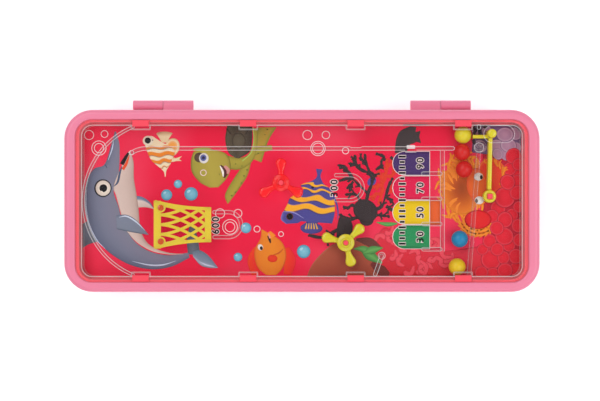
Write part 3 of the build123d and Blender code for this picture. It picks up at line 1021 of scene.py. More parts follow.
    def pocket(self, skin: Skin, name: str) -> None:
        """A pocket that opens towards -X: two arms and a half circle."""
        low, high = (np.array(corner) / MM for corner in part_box(name))
        y = (low[1] + high[1]) / 2
        x = high[0] - self.pocket_bend - self.pocket_half
        swing = np.radians(np.linspace(90, -90, 48))
        bend = np.stack([x + self.pocket_bend * np.cos(swing),
                         y + self.pocket_bend * np.sin(swing)], 1)
        arm = np.linspace(x - self.pocket_arm, x, 8)[:-1]
        upper = np.stack([arm, np.full(7, y + self.pocket_bend)], 1)
        lower = np.stack([arm[::-1], np.full(7, y - self.pocket_bend)], 1)
        self.rail(skin, np.concatenate([upper, bend, lower]), self.pocket_half, shine=0.75)

    def gutter_rail(self, skin: Skin, name: str) -> None:
        """The rail that leads lost balls back to the lane."""
        self.rail(skin, np.linspace(*self.gutter, 40), self.gutter_half, shine=0.32)
        self.post(skin, self.gutter[1], self.gutter_head)

    def deflector_rail(self, skin: Skin, name: str) -> None:
        """The short rail at the bottom edge."""
        self.rail(skin, np.linspace(*self.deflector, 12), self.rail_half)
        self.post(skin, self.deflector[1], self.deflector_head)

    def lane_stop(self, skin: Skin, name: str) -> None:
        """The nub that stops the ball behind the hammer."""
        self.rail(skin, np.linspace(*self.stop, 6), self.stop_half, 0.6)

    def clip_frames(self, skin: Skin) -> None:
        """The frames under the cover's clips, pale with painted highlight."""
        for x in self.clip_x:
            for side in (-1, 1):
                outer, inner = (side * y for y in self.clip_span)
                west, east = x - self.clip_half, x + self.clip_half
                corners = np.array([(west, outer), (west, inner), (east, inner), (east, outer)])
                path = np.concatenate([np.linspace(a, b, 12)[:-1]
                                       for a, b in zip(corners[:-1], corners[1:])])
                half = np.full(len(path), self.clip_wall)
                grid, shine = moulded(path, half, half, self.high - self.clip_depth, self.high,
                                      0.1, 0.1, 0.5)
                skin.add(grid, shine * self.clip_shine)


@dataclass
class Balls:
    """Five beads, each with the faint seam of its mould."""

    colours: dict[str, tuple[str, str]] = field(default_factory=lambda: {
        "ball_lane": ("DCCB2A", "ball_yellow"), "ball_yellow": ("E3C01C", "ball_yellow"),
        "ball_red_first": ("D01C18", "ball_red"), "ball_red_second": ("CE1A18", "ball_red"),
        "ball_blue": ("1C86B4", "ball_blue")})
    seam_depth: float = 0.04
    seam_width: float = 0.035

    def build(self) -> None:
        """Build each ball: radius r less a groove d exp(-(latitude / w)^2)."""
        for name, (code, slot) in self.colours.items():
            centre = middle(name)
            radius = (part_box(name)[1][0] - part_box(name)[0][0]) / 2 / MM
            latitude = np.linspace(-np.pi / 2, np.pi / 2, 73)
            reach = radius - self.seam_depth * np.exp(-(latitude / self.seam_width) ** 2)
            profile = np.stack([reach * np.cos(latitude),
                                centre[2] + reach * np.sin(latitude)], 1)
            profile[[0, -1], 0] = 0
            skin = Skin()
            skin.add(lathe((centre[0], centre[1]), profile, 72))
            finish = MouldedPlastic(f"{name}_plastic", code, 0.34, 0.002, milk=0.25,
                                    drift=0.05, shine=0.28)
            skin.build(f"{name}_bead", name, slot, finish.make(), (name,))


@dataclass
class Spinner:
    """A three-bladed spinner on its axle."""

    name: str
    slot: str
    finish: MouldedPlastic | TintedPlastic
    first_turn: float
    reach: float = 12.55
    cad_reach: float = 12.6
    cad_lobe: float = 2.9
    hub: float = 4.4
    hole: float = 1.27
    ring: float = 2.5
    blade_half_height: float = 1.6
    widths: tuple[float, ...] = (1.55, 1.45, 1.45, 1.8, 2.5, 2.85, 2.8)
    bevel: float = 0.35
    step: float = 0.8
    tip_share: float = 0.28

    def axle(self) -> Place:
        """Find the axle from the frame's box, whose blades reach unevenly.

        Returns:
            The axle's place.
        """
        high = np.array(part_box(self.name)[1]) / MM
        angles = np.radians(self.first_turn + np.array([0, 120, 240]))
        middles = self.cad_reach - self.cad_lobe
        reach_x, reach_y = (max(max(middles * way(angles)) + self.cad_lobe, self.hub)
                            for way in (np.cos, np.sin))
        return float(high[0] - reach_x), float(high[1] - reach_y)

    def build(self) -> None:
        """Build the hub by turning a profile and each blade as a flattened bar."""
        low, high = (corner[2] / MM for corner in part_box(self.name))
        centre, bevel, step = self.axle(), self.bevel, self.step
        skin = Skin()
        profile = np.array([
            (self.hole, low), (self.ring, low), (self.hub - bevel, low + step),
            (self.hub, low + step + bevel), (self.hub, high - step - bevel),
            (self.hub - bevel, high - step), (self.ring + 0.15, high - step),
            (self.ring, high - step + 0.15), (self.ring - 0.15, high), (self.hole, high),
            (self.hole, low)])
        skin.add(lathe(centre, profile))
        count = 30
        tip = np.clip((np.linspace(0, 1, count) - (1 - self.tip_share)) / self.tip_share, 0, 1)
        rounding = np.sqrt(np.clip(1 - tip ** 2, 1e-4, 1))
        waist = resample(self.widths, count) * rounding
        thick = self.blade_half_height * np.sqrt(rounding)
        level = (low + high) / 2
        for blade in range(3):
            angle = math.radians(self.first_turn + 120 * blade)
            away = np.linspace(self.hole + 0.6, self.reach, count)
            line = np.stack([centre[0] + away * math.cos(angle),
                             centre[1] + away * math.sin(angle), np.full(count, level)], 1)
            skin.add(bar(line, waist, thick, 0.6))
        piece = skin.build(f"{self.name}_moulding", self.name, self.slot,
                           self.finish.make(), (self.name,))
        piece.visible_shadow = not isinstance(self.finish, TintedPlastic)


@dataclass
class Launcher:
    """The sprung arm with its knob and hammer, and the hub that it grows from."""

    finish: MouldedPlastic = MouldedPlastic("launcher_yellow", "D8CA1E", 0.28, 0.004, 0.1, 0.2,
                                            0.05)
    hub_radius: float = 3.2
    post_half: float = 1.3
    root: float = 3.42
    arm_half_width: float = 1.1
    hammer_half_width: float = 0.95
    knob_radius: float = 2.25
    knob_bevel: float = 0.7
    hammer_drop: float = 1.35
    bar_square: float = 0.3

    def build(self) -> None:
        """Build the hub and the arm."""
        hub = middle("launcher_hub")
        low, high = (corner[2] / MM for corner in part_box("launcher_hub"))
        material = self.finish.make()
        skin = Skin()
        skin.add(self.hub_surface((hub[0], hub[1]), low, high))
        skin.build("launcher_hub_ring", "lid", "yellow_plastic", material, ("launcher_hub",))
        low_corner, high_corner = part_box("launcher_arm")
        tip_x, knob_x = low_corner[0] / MM, high_corner[0] / MM - self.knob_radius
        knob_y = high_corner[1] / MM - self.knob_radius - 0.05
        knob_top = high_corner[2] / MM
        half = (high - low_corner[2] / MM) / 2
        level = low_corner[2] / MM + half
        skin = Skin()
        line = np.linspace((hub[0] - 0.2, hub[1] + self.root, level), (knob_x, knob_y, level), 24)
        skin.add(bar(line, np.full(24, self.arm_half_width), np.full(24, half),
                     self.bar_square))
        hammer_y = knob_y - self.hammer_drop
        line = np.linspace((knob_x, hammer_y, level), (tip_x, hammer_y, level), 16)
        skin.add(bar(line, np.full(16, self.hammer_half_width), np.full(16, half),
                     self.bar_square))
        r, bevel = self.knob_radius, self.knob_bevel
        profile = np.array([(0, level - half), (r - 0.2, level - half), (r, level - half + 0.2),
                            (r, knob_top - bevel), (r - 0.2, knob_top - 0.3),
                            (r - bevel, knob_top), (0, knob_top)])
        skin.add(lathe((knob_x, knob_y), profile))
        skin.build("launcher_arm_moulding", "launcher_arm", "yellow_plastic", material,
                   ("launcher_arm",))

    def hub_surface(self, centre: Place, low: float, high: float) -> np.ndarray:
        """The hub: round outside, square inside, the section (r(t, s), z(s)) carried round.

        Args:
            centre: middle of the post.
            low: lower level.
            high: upper level.

        Returns:
            The closed surface.
        """
        t = np.linspace(0, 2 * np.pi, 97)
        square = self.post_half / np.maximum(np.abs(np.cos(t)), np.abs(np.sin(t)))
        outer = np.full_like(t, self.hub_radius)
        rows = [(square, low), (outer - 0.3, low), (outer, low + 0.3), (outer, high - 0.4),
                (outer - 0.4, high), (square + 0.15, high), (square, high - 0.15),
                (square, low)]
        return np.stack([np.stack([centre[0] + r * np.cos(t), centre[1] + r * np.sin(t),
                                   np.full_like(t, z)], -1) for r, z in rows])


@dataclass
class BasketNet:
    """The yellow net: two bands, two flared sides and crossing strands."""

    finish: MouldedPlastic = MouldedPlastic("net_yellow", "DFC42C", 0.32, 0.004, 0.06, 0.15, 0.05)
    head: MouldedPlastic = MouldedPlastic("rivet_red", "C9500F", 0.22, 0.002, 0.2, 0.1, 0.04)
    top_half: float = 12.6
    waist_half: float = 9.75
    bottom_half: float = 8.9
    left_band: float = 3.6
    right_band: float = 3.2
    side: float = 0.85
    strand: float = 0.72
    pitch: float = 4.9
    climb: float = 10.0
    bend: float = 1.75
    head_inset: float = 3.5
    head_spread: float = 8.55
    boss: float = 2.45
    head_radius: float = 1.55

    def half_at(self, share: np.ndarray) -> np.ndarray:
        """Half height of the net from its wide end (0) to its narrow end (1).

        The parabola through the top, waist and bottom halves.
        """
        a, m, b = self.top_half, self.waist_half, self.bottom_half
        return a + (4 * m - 3 * a - b) * share + (2 * a + 2 * b - 4 * m) * share ** 2

    def build(self) -> None:
        """Build the bands, sides, strands, bosses and the two heads.

        Each strand climbs as start + climb s^bend from one band (s = 0) to the other (1).
        """
        low, high = (np.array(corner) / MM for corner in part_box("basket_net"))
        x0, x1 = low[0], high[0]
        y = (low[1] + high[1]) / 2
        level, thick = (low[2] + high[2]) / 2 - 0.13, (high[2] - low[2]) / 2 - 0.15
        skin = Skin()
        for x, share, band in ((x0, 0.06, self.left_band), (x1, 0.94, -self.right_band)):
            half = self.half_at(np.array(share)) - 0.1
            line = np.linspace((x + band / 2, y - half, level), (x + band / 2, y + half, level),
                               30)
            taper = np.full(30, abs(band) / 2)
            skin.add(bar(line, taper, np.full(30, thick), 0.2))
        share = np.linspace(0.015, 0.985, 44)
        for way in (-1, 1):
            line = np.stack([x0 + share * (x1 - x0),
                             y + way * (self.half_at(share) - self.side), np.full(44, level)],
                            1)
            skin.add(bar(line, np.full(44, self.side), np.full(44, thick), 0.3))
        s = np.linspace(0, 1, 48)
        x = x0 + self.left_band - 0.6 + s * (x1 - x0 - self.left_band - self.right_band + 1.2)
        room = self.half_at((x - x0) / (x1 - x0)) - self.side
        for way in (-1, 1):
            for start in np.arange(-4, 5) * self.pitch:
                rise = start + way * self.climb * s ** self.bend
                kept = np.abs(rise) < room
                if kept.sum() > 4:
                    n = int(kept.sum())
                    line = np.stack([x, y + rise, np.full(48, level + 0.05 * way)], 1)[kept]
                    skin.add(bar(line, np.full(n, self.strand), np.full(n, thick - 0.08), 0.4))
        for corner in (-1, 1):
            centre = (x0 + self.head_inset, y + corner * self.head_spread)
            bore, face = self.head_radius + 0.1, high[2] - 0.3
            ring = np.array([(bore, low[2]), (self.boss, low[2]), (self.boss, high[2] - 0.36),
                             (self.boss - 0.08, face), (bore, face), (bore, low[2])])
            skin.add(lathe(centre, ring, 48))
        skin.build("basket_net_moulding", "lid", "net_yellow", self.finish.make(),
                   ("basket_net",))
        skin = Skin()
        swing = np.linspace(0, np.pi / 2, 14)
        crown = np.stack([self.head_radius * np.cos(swing),
                          high[2] - 0.28 + 0.25 * np.sin(swing)], 1)
        profile = np.concatenate([[(0, low[2] + 0.3), (self.head_radius, low[2] + 0.3)], crown])
        profile[-1, 0] = 0
        for corner in (-1, 1):
            skin.add(lathe((x0 + self.head_inset, y + corner * self.head_spread), profile, 48))
        skin.build("net_post_heads", "lid", "tray_red", self.head.make())


# ------------------------------------------------------------------ the printed picture
@dataclass
class SeaPicture:
    """Generic sea creatures, bubbles, rocks and scores printed on the card.

    Each drawing method fills one group of flat shapes, from the back to the front.
    """

    ground: float
    material: bpy.types.Material
    layer: float = 0.011
    ink_share: float = 0.53
    field_length: float = 18.4
    bars: int = 17
    digit_size: float = 4.9
    digit_space: float = 1.3
    seed: int = 7
    shapes: int = 0
    skin: Skin = field(default_factory=Skin)

    def level(self, layer: int) -> float:
        """Height of a layer of ink, each shape in it a hair over or under its neighbours."""
        self.shapes += 1
        return self.ground + self.layer * (layer + 1 + 11 * self.shapes % 29 / 30)

    def stripe(self, layer: int, paint: str | Painter, points: Sequence[Place],
               widths: Sequence[float], count: int = 28, rows: int = 9) -> None:
        """Print a ribbon.

        Args:
            layer: its layer of ink.
            paint: its colour or its painter.
            points: its middle line.
            widths: its half widths, spread evenly along it.
            count: points along it.
            rows: points across it.
        """
        self.skin.add_flat(ribbon(points, widths, self.level(layer), count, rows), paint)

    def patch(self, layer: int, paint: str | Painter, left: Sequence[Place],
              right: Sequence[Place], count: int = 60, rows: int = 13) -> None:
        """Print the area between two edges.

        Args:
            layer: its layer of ink.
            paint: its colour or its painter.
            left: points along one edge.
            right: points along the other, in the same direction.
            count: points along it.
            rows: points across it.
        """
        self.skin.add_flat(between(left, right, self.level(layer), count, rows), paint)

    def spot(self, layer: int, paint: str | Painter, centre: Place, radii: Place | float,
             turn: float = 0.0, inner: float = 0.0, rings: int = 2, sides: int = 40) -> None:
        """Print an ellipse or a ring.

        Args:
            layer: its layer of ink.
            paint: its colour or its painter.
            centre: its middle.
            radii: half length and half width, or the radius of a round one.
            turn: degrees.
            inner: share of the radius where a ring starts.
            rings: points from the middle to the edge.
            sides: points round it.
        """
        pair = radii if isinstance(radii, tuple) else (radii, radii)
        self.skin.add_flat(disc(centre, pair, self.level(layer), turn, inner, rings, sides),
                           paint)

    def build(self) -> None:
        """Build every group under its method's name, then the numbers."""
        for draw in (self.dolphin, self.striped_fish, self.turtle, self.orange_fish,
                     self.blue_fish, self.coral, self.reef, self.anemone, self.pebbles,
                     self.bubbles, self.scores):
            self.skin = Skin()
            draw()
            self.skin.build(f"print_{draw.__name__}", "lid", "printed_card", self.material,
                            ink=self.layer * self.ink_share)
        self.numbers()

    def dolphin(self) -> None:
        """The dolphin that curls round the net."""
        slate = across(
            ((-1, "5C6379"), (-0.8, "646A80"), (-0.2, "73778B"), (0.5, "7B7A8D"), (1, "7A7A8A")))
        dark = across(((-1, "5C6470"), (0, "6A7280"), (1, "585F68")))
        cream = across(((-1, "D2BCB2"), (0, "CCB5AB"), (0.7, "C0A89E"), (1, "B0978E")))
        self.patch(
            0, dark, [(-103.5, -8), (-109.6, -11), (-111.9, -13.4)],
            [(-102.5, -20.4), (-107.5, -22), (-111.6, -24.6)])
        self.patch(
            0, across(((-1, "66748E"), (-0.4, "7C88A0"), (-0.25, "DCCBC2"), (1, "CDB9AE"))),
            [(-83.9, 2.6), (-80.4, 2), (-76.8, -0.4), (-74.4, -4)],
            [(-83, -3.4), (-80.4, -3.2), (-77.5, -3.4), (-74.6, -4.1)])
        self.patch(
            0, dark, [(-57.4, -27), (-58, -19), (-56.2, -11.2)],
            [(-51.2, -27), (-52.4, -19), (-54.6, -11)])
        self.patch(
            1, across(((-1, "66788A"), (0.3, "7D8CA0"), (0.7, "A6B0C0"), (1, "76849A"))),
            [(-55.2, -25.4), (-51.6, -24.8), (-47, -27.6), (-42.3, -33.5)],
            [(-54.8, -28.2), (-50.8, -32.6), (-46.2, -33.8), (-42.4, -33.8)])
        back = [
            (-94.2, 35), (-96, 28.5), (-99.3, 18.6), (-104.6, 16.2), (-108.2, 10.5), (-109.4, 2),
            (-109, -6), (-105.6, -16.2), (-98.5, -24.8), (-88, -31.6), (-76.8, -34.4),
            (-66, -33.2), (-56.6, -28.6)]
        front = [
            (-93.6, 34.8), (-91.9, 28.6), (-91.8, 21), (-92.1, 15), (-93, 9), (-94.8, 4.8),
            (-92.4, -2.6), (-90.6, -9.4), (-87.6, -15.8), (-82.6, -21.8), (-75.4, -25.8),
            (-66.5, -27.3), (-57, -26)]
        self.patch(2, slate, back, front, 120, 25)
        self.patch(
            3, cream,
            [(-87.4, 24.6), (-91.2, 16.6), (-94.8, 7.4), (-93.6, 2.6), (-91.8, -4), (-89.6, -12)],
            [(-86.4, 24.9), (-84.8, 19.6), (-84.6, 11.5), (-83.4, 4), (-82.2, -4.6),
             (-81.6, -14.4)], 70)
        self.patch(
            3, cream,
            [(-88.6, -14.8), (-83.2, -20.8), (-75.6, -25.2), (-67.2, -26.9), (-59.6, -26.9)],
            [(-81.8, -14), (-78.4, -20.4), (-73.6, -24), (-66.6, -26.2), (-59.4, -26.7)], 60)
        self.stripe(4, "24181C", [(-90.7, 18.4), (-89, 21.4), (-87.3, 24.2)], [1, 0.9, 0.5])
        self.stripe(5, "E2502C", [(-90.2, 15.8), (-88.4, 18.8), (-86.9, 23)], [0.75, 0.7, 0.2])
        self.stripe(
            5, "4E5A72", [(-94.8, 7.2), (-92.8, 9.4), (-91.7, 14), (-90.6, 17.4)],
            [0.1, 0.5, 0.5, 0.2])
        self.patch(
            4, across(((-1, "6A7286"), (-0.5, "7B8294"), (0.8, "788090"), (1, "525E70"))),
            [(-93.6, -7.4), (-88.4, -7), (-83.2, -9.9), (-77.2, -16.9)],
            [(-93.2, -14.2), (-87.8, -15.4), (-82, -16.4), (-77.4, -17.1)], 50)
        self.stripe(
            5, "C9D2E2", [(-92, -8.2), (-88.2, -7.8), (-83.4, -10.6), (-79, -15)],
            [0.1, 0.35, 0.35, 0.05])
        for points, size in (
                ([(-108.4, 6), (-108.7, -3), (-107.2, -11.6), (-103.4, -19.5), (-99, -24.2)], 0.3),
                ([(-85.4, -30.4), (-76.8, -32.3), (-70, -32.2), (-63.4, -30.2)], 0.35),
                ([(-94.9, 30.2), (-95.6, 26.2), (-97.6, 20.4)], 0.25),
                ([(-51.6, -30.6), (-47.8, -32.4), (-44, -33)], 0.3)):
            self.stripe(3, "C4D0E6", points, [0.05, size, size, 0.05], 40, 3)
        self.stripe(3, "39435A", [(-99.2, 18.4), (-98.4, 17.2), (-98.2, 16.4)], [0.15] * 2, 10, 3)
        centre = (-100.2, 6.4)
        for index, (size, code) in enumerate(
                ((4.35, "2A2B30"), (3.75, "EADFD0"), (1.95, "17181C"))):
            self.spot(4 + index, code, (centre[0] + 0.1 * index, centre[1]), (size, size * 1.03))
        for y, turn in ((2.2, 30), (-1.9, -30)):
            self.spot(7, "EADFD0", (centre[0] - 0.6, centre[1] + y), (0.75, 0.45), turn, sides=16)

    def striped_fish(self) -> None:
        """The small cream fish with orange bands, by the lane."""
        pale = across(((-1, "D9C29A"), (0, "E6D3AE"), (1, "D6B888")))
        self.patch(
            0, along(((0, "CDB286"), (0.3, "E4CFA6"), (1, "DCC398"))),
            [(-73.4, 33.9), (-71.8, 31.6), (-70.6, 29.4)],
            [(-65.2, 33.9), (-66.8, 31.6), (-67.6, 29.4)], 20)
        self.spot(0, "D2B98E", (-69.2, 33.9), (4, 1))
        self.spot(
            0, along(((0, "E9A14E"), (0.55, "E59A48"), (0.8, "E6D0A8"), (1, "CFB07E"))),
            (-65.4, 27), (4.7, 3.7), 70, rings=6)
        for end in ((-60.6, 22.4), (-60.6, 20.2), (-61.6, 21)):
            self.stripe(0, pale, [(-67, 20.8), (-63.6, 20.8), end], [1.3, 0.8, 0.1], 14)
        self.patch(
            1,
            self.waves("E6D3B0", "E0812B",
                       ((0.28, 0.035), (0.44, 0.05), (0.6, 0.045), (0.74, 0.015))),
            [(-76.4, 32.7), (-78.9, 29.6), (-78.5, 26.4), (-77.4, 23.6), (-75.6, 20.2),
             (-72.2, 17.2), (-69.6, 14.8), (-69, 12.2)],
            [(-75.4, 32.7), (-70.6, 29.6), (-65.6, 27), (-64, 24.2), (-65.2, 21.2), (-66.4, 18.2),
             (-68.2, 15.4), (-68.6, 12.2)], 90, 21)
        self.spot(2, "DFD2BC", (-77.5, 30.3), (2.7, 2.5), rings=6)
        self.spot(3, "242126", (-77.6, 30.4), 1.55)
        self.spot(3, "4A3527", (-75.2, 30.6), (0.35, 0.3), sides=12)

    def waves(self, ground: str, band: str, bands: Sequence[tuple[float, float]],
              swing: float = 0.022, line: str = "2F2A3A") -> Painter:
        """Wavy bands: |u + swing cos(pi v 1.6) - place| < half width, with a dark lower edge.

        Args:
            ground: colour between the bands.
            band: colour of the bands.
            bands: place and half width of each, as shares of the length.
            swing: how far the bands swing.
            line: colour of their edge.

        Returns:
            The painter.
        """
        low, high, edge = (np.array(shade(code)) for code in (ground, band, line))

        def paint(u: np.ndarray, v: np.ndarray) -> np.ndarray:
            colour = np.broadcast_to(low, u.shape + (3,)).copy()
            for place, half in bands:
                away = u + swing * np.cos(np.pi * v * 1.6 + 9 * place) - place
                near = np.clip((half - np.abs(away)) * 120, 0, 1)[..., None]
                rim = np.clip((0.012 - np.abs(away - half)) * 120, 0, 1)[..., None] * 0.7
                colour = colour * (1 - near) + high * near
                colour = colour * (1 - rim) + edge * rim
            return colour

        return paint

    def turtle(self) -> None:
        """The turtle at the lane, its head towards the dolphin."""
        olive = across(((-1, "847C32"), (-0.6, "9C9238"), (0.4, "A89A3C"), (1, "8A8034")))
        self.patch(
            0, across(((-1, "8C8A3C"), (-0.5, "A6923A"), (0.4, "AE8E38"), (1, "7F8A34"))),
            [(-26.9, 22), (-24, 29), (-22.2, 37)], [(-20.4, 19.4), (-17, 30), (-12.8, 37.2)])
        self.stripe(0, olive, [(-24, 24.4), (-19, 26.2), (-15, 26.8)], [1.6, 1.5, 1.3])
        self.patch(
            0, olive, [(-29, 18.6), (-33.8, 12), (-38.6, 3.4), (-37.6, -1.2)],
            [(-25.6, 19.4), (-27.6, 12.4), (-32.4, 5), (-37.2, -1.4)])
        self.stripe(
            1, olive, [(-38, 19.6), (-32, 18.8), (-26.4, 21.4), (-23.6, 28), (-23.4, 36.6)],
            [3.2, 3, 2, 1.1, 1.1], 40)
        self.patch(
            2,
            across(((-1, "4A4638"), (-0.85, "57503F"), (-0.3, "4C4236"), (0.3, "554B3D"),
                    (0.85, "453C33"), (1, "3A332C"))),
            [(-37.6, 37.8), (-38.6, 31), (-37, 24.4), (-33.4, 21.6)],
            [(-25, 37.8), (-25, 31), (-26.2, 25), (-31.6, 21.4)], 50, 17)
        self.spot(
            3, along(((0, "5E5747"), (0.85, "574F40"), (1, "3A332C"))), (-31.8, 30.2), (3.4, 4.2),
            6, rings=6)
        for points in (
                [(-35.6, 33.6), (-38, 36.4)], [(-35.4, 27), (-37.4, 25.4)],
                [(-28.4, 33.6), (-26.2, 36.8)], [(-28.6, 27.2), (-26.6, 24.6)]):
            self.stripe(3, "3A332C", points, [0.3, 0.3], 8, 3)
        self.stripe(
            4, "A9C45E", [(-24.6, 37), (-24.2, 30.6), (-25.6, 24.4), (-30, 20)], [0.25] * 3, 40, 3)
        self.patch(
            5,
            across(((-1, "867C36"), (-0.85, "9F943C"), (0, "AE9E42"), (0.85, "A6963E"),
                    (1, "867C34"))),
            [(-54.6, 24.8), (-55.8, 20.6), (-55.4, 14.6), (-51.4, 9.4), (-46.4, 6.7)],
            [(-46, 26.2), (-38, 23.6), (-35.8, 17.4), (-37.6, 11.8), (-42, 6.9)], 50, 17)
        self.spot(5, "A2A241", (-50.4, 26), (4.6, 0.9), 3, rings=6)
        self.stripe(6, "54282A", [(-40.9, 18), (-38.9, 14.8), (-39, 11.6)], [0.3, 1.7, 0.4])
        self.stripe(7, "F1EBE2", [(-41.2, 17.6), (-39.9, 14.8), (-39.6, 12.2)], [0.2, 0.55, 0.2])
        self.stripe(7, "CF8A84", [(-39, 17.6), (-37.2, 15.6), (-37.4, 13.6)], [0.6, 0.9, 0.5])
        self.spot(6, "5A4A3C", (-51.6, 21.9), (2.6, 2.5))
        self.spot(7, "E9E4E0", (-49.4, 21.5), (2.4, 2.6))
        self.spot(
            8, along(((0, "2C2A3C"), (0.4, "343256"), (0.55, "5B5F9A"), (1, "6F77A8"))),
            (-49.6, 21.7), (1.6, 1.7), rings=6)
        spots = np.random.default_rng(self.seed)
        for at in (
                (-30.5, 9), (-33.4, 4.4), (-29.2, 12.6), (-18.6, 33.4), (-20, 27.4), (-35.4, 2.6),
                (-31.6, 6.6), (-27.6, 15.6), (-17.4, 36), (-22, 24), (-33.4, 18.6), (-30.2, 17.6),
                (-41.6, 13.4)):
            size = spots.uniform(0.3, 0.55)
            self.spot(6, "5F6A2E", at, (size, size * 0.7), sides=12)

    def orange_fish(self) -> None:
        """The round orange fish that looks up from the bottom edge."""
        for way, x in ((-1, -22.8), (1, -7.6)):
            self.stripe(
                0, across(((-1, "E6401F"), (1, "E0262C"))),
                [(x, -23.5), (x + way * 1.6, -30), (x + way * 0.4, -37.2)], [1.4, 3, 2])
        self.patch(
            1,
            across(((-1, "DA6A26"), (-0.7, "E07E24"), (0.2, "E28424"), (0.9, "DE7822"),
                    (1, "CE5C22"))),
            [(-20.3, -14.4), (-21, -19), (-23.6, -24), (-23.8, -29), (-21.9, -34), (-18, -37.4)],
            [(-20, -14.4), (-11.4, -19.4), (-8.4, -24), (-8, -29.1), (-10, -34.4), (-13, -37.4)],
            60, 17)
        self.stripe(2, "EE8A2A", [(-16.8, -15.8), (-15, -18.6)], [1.2, 2.2])
        self.spot(2, "DF3B22", (-14.8, -29), (2.5, 1.9), rings=3)
        self.stripe(
            3, "C2521E", [(-9.4, -24.2), (-11.6, -26.2), (-14.4, -27.2)], [0.15, 0.35, 0.15], 20,
            3)
        self.stripe(3, "33201E", [(-17.2, -17.6), (-16.3, -19.4), (-15.8, -21.2)], [0.3, 0.6, 0.3])
        self.stripe(4, "E58A7C", [(-16.8, -16.4), (-16, -18.8)], [0.35, 0.5])
        self.spot(2, "F0E6DA", (-20.9, -23.4), (1.35, 1.6), 20)
        self.spot(3, "2A1F20", (-20.4, -23.8), (0.75, 0.95), 10, sides=20)

    def blue_fish(self) -> None:
        """The blue fish with yellow bands, in the middle."""
        blue = across(((-1, "403C78"), (0, "4E4A8E"), (1, "423E7A")))
        self.patch(
            0, "494588", [(-0.6, -12.6), (0.6, -15.6), (4.8, -16.8)],
            [(4.4, -9.2), (7, -12), (10.3, -13.8)], 20)
        self.spot(0, "494588", (4.8, -13.8), (5.6, 2.8), -2, rings=6)
        self.stripe(1, blue, [(5.4, -8.4), (5, -11.4)], [4.4, 2.6], 10)
        for step in range(-2, 3):
            self.stripe(
                3, "E8B23A", [(4.7 + step * 1.1, -11.2), (4.8 + step * 1.5, -14.2)], [0.15, 0.4],
                8, 3)
        self.stripe(
            0, "4E4A90", [(14, 5.4), (17, 0), (18.2, -5.4), (18, -9.6)], [0.6, 0.5, 0.4, 0.1], 30,
            3)
        self.patch(
            2,
            self.waves("4C488E", "EEA92E",
                       ((0.335, 0.035), (0.47, 0.028), (0.62, 0.05), (0.78, 0.05)), 0.03),
            [(7.1, 16.2), (7.6, 12.4), (5.2, 10.2), (-0.4, 8), (0.6, 5.2), (-5.6, 1.8),
             (-7.2, -1.4), (-9.4, -6), (-9.6, -9.6)],
            [(10.5, 15.8), (9.4, 12.4), (11, 8.6), (13.6, 6.6), (15, 3.8), (16.4, -0.6),
             (16.6, -4), (16.3, -7.6), (15.2, -11.4)], 120, 33)
        self.patch(
            3, across(((-1, "7E7CC0"), (-0.8, "4C488E"), (1, "4C488E"))),
            [(-9.8, -5.6), (-10.6, -9.2), (-8, -11.6)], [(-1.6, -7), (0.4, -9.4), (-2, -11.2)], 24)
        self.stripe(4, "8E8CCB", [(-9.4, -5.4), (-4, -5.9), (1, -8.8)], [0.15, 0.3, 0.1], 20, 3)
        self.spot(4, "6A3E2A", (-6.1, -7.9), 1.75)
        self.spot(5, "15131A", (-6.1, -7.9), 1.4)
        self.spot(4, "2A2030", (5.4, 6.8), (0.7, 0.6), sides=16)

    def coral(self) -> None:
        """The black coral with a red one behind it, and the dark fish over the lane."""
        random = np.random.default_rng(self.seed + 4)
        red, black = "DC3A28", "3A3133"
        for points in (
                [(38.6, -1.8), (40.2, 3), (41, 9), (42.6, 15.4), (42.8, 20.4)],
                [(40.2, 3.4), (37, 3.4), (35.8, 0.8)], [(41, 8), (36, 7)],
                [(41, 11), (38.4, 13.6)], [(42.2, 12.4), (46, 13), (46.6, 18)],
                [(42.6, 16.6), (46, 19.6)], [(44.6, 4), (46.8, 9)]):
            self.twig(points, 1.05, red, 0, random)
        self.spot(0, "544B94", (35.2, 9.8), (2.6, 2), 50, rings=6)
        for points in (
                [(32, -3), (33.4, 4), (35.4, 9.5), (34, 14.5), (32.2, 19.5), (31.8, 23)],
                [(34, 14), (29.4, 16), (27.2, 19), (26.8, 22.4)],
                [(29, 16.2), (26.6, 18.4), (24, 18.8)], [(32.4, 19), (29.4, 21.4)],
                [(33, 4), (28.4, 8.4), (24.6, 11.4), (19.2, 10.2)],
                [(26, 10.6), (23.6, 14.4), (21.4, 17), (18.6, 17.9)], [(26, 9.8), (23, 6.6)],
                [(30, -1), (27, 3.2), (22.4, 3.2)], [(29, -5), (25.4, -2.2), (23.2, -3.8)],
                [(35, -5), (39.8, -3), (42, 1.6), (43.8, 7.6), (45.6, 11.2)],
                [(36.6, -7), (40.2, -7.4), (43.6, -7.8)], [(37.2, 15.6), (40.4, 17.8)],
                [(37.2, 23.8), (40.8, 22.6), (41.6, 20.8)], [(44.6, 22.2), (47.2, 19.8)],
                [(29.4, -8), (24, -9), (19.4, -7)], [(42, 1.8), (45.4, 0.4)],
                [(26, -9), (21.6, -12), (15.4, -16), (10.2, -18.4), (3.8, -17.4)],
                [(33.8, 14.8), (37, 12.6)], [(16, -16.4), (12.4, -20.6)],
                [(42.4, -2.6), (45, -4.4)]):
            self.twig(points, 0.85, black, 1, random)
        self.spot(1, black, (32, -5), (6.4, 5.6), -35, rings=6)
        self.spot(1, black, (32.6, -9.4), (3.6, 3.2), rings=6)
        self.patch(
            1, black, [(18.6, -8.4), (17.6, -14), (17.4, -20)],
            [(24.4, -9), (25.6, -13), (24.6, -20)])
        self.patch(
            1, "433B3C", [(54.6, 37.6), (49.6, 35.2), (47.4, 30.4), (46.8, 24)],
            [(57.6, 37.2), (57, 33.6), (54.6, 28.6), (52.8, 24.6)], 40)
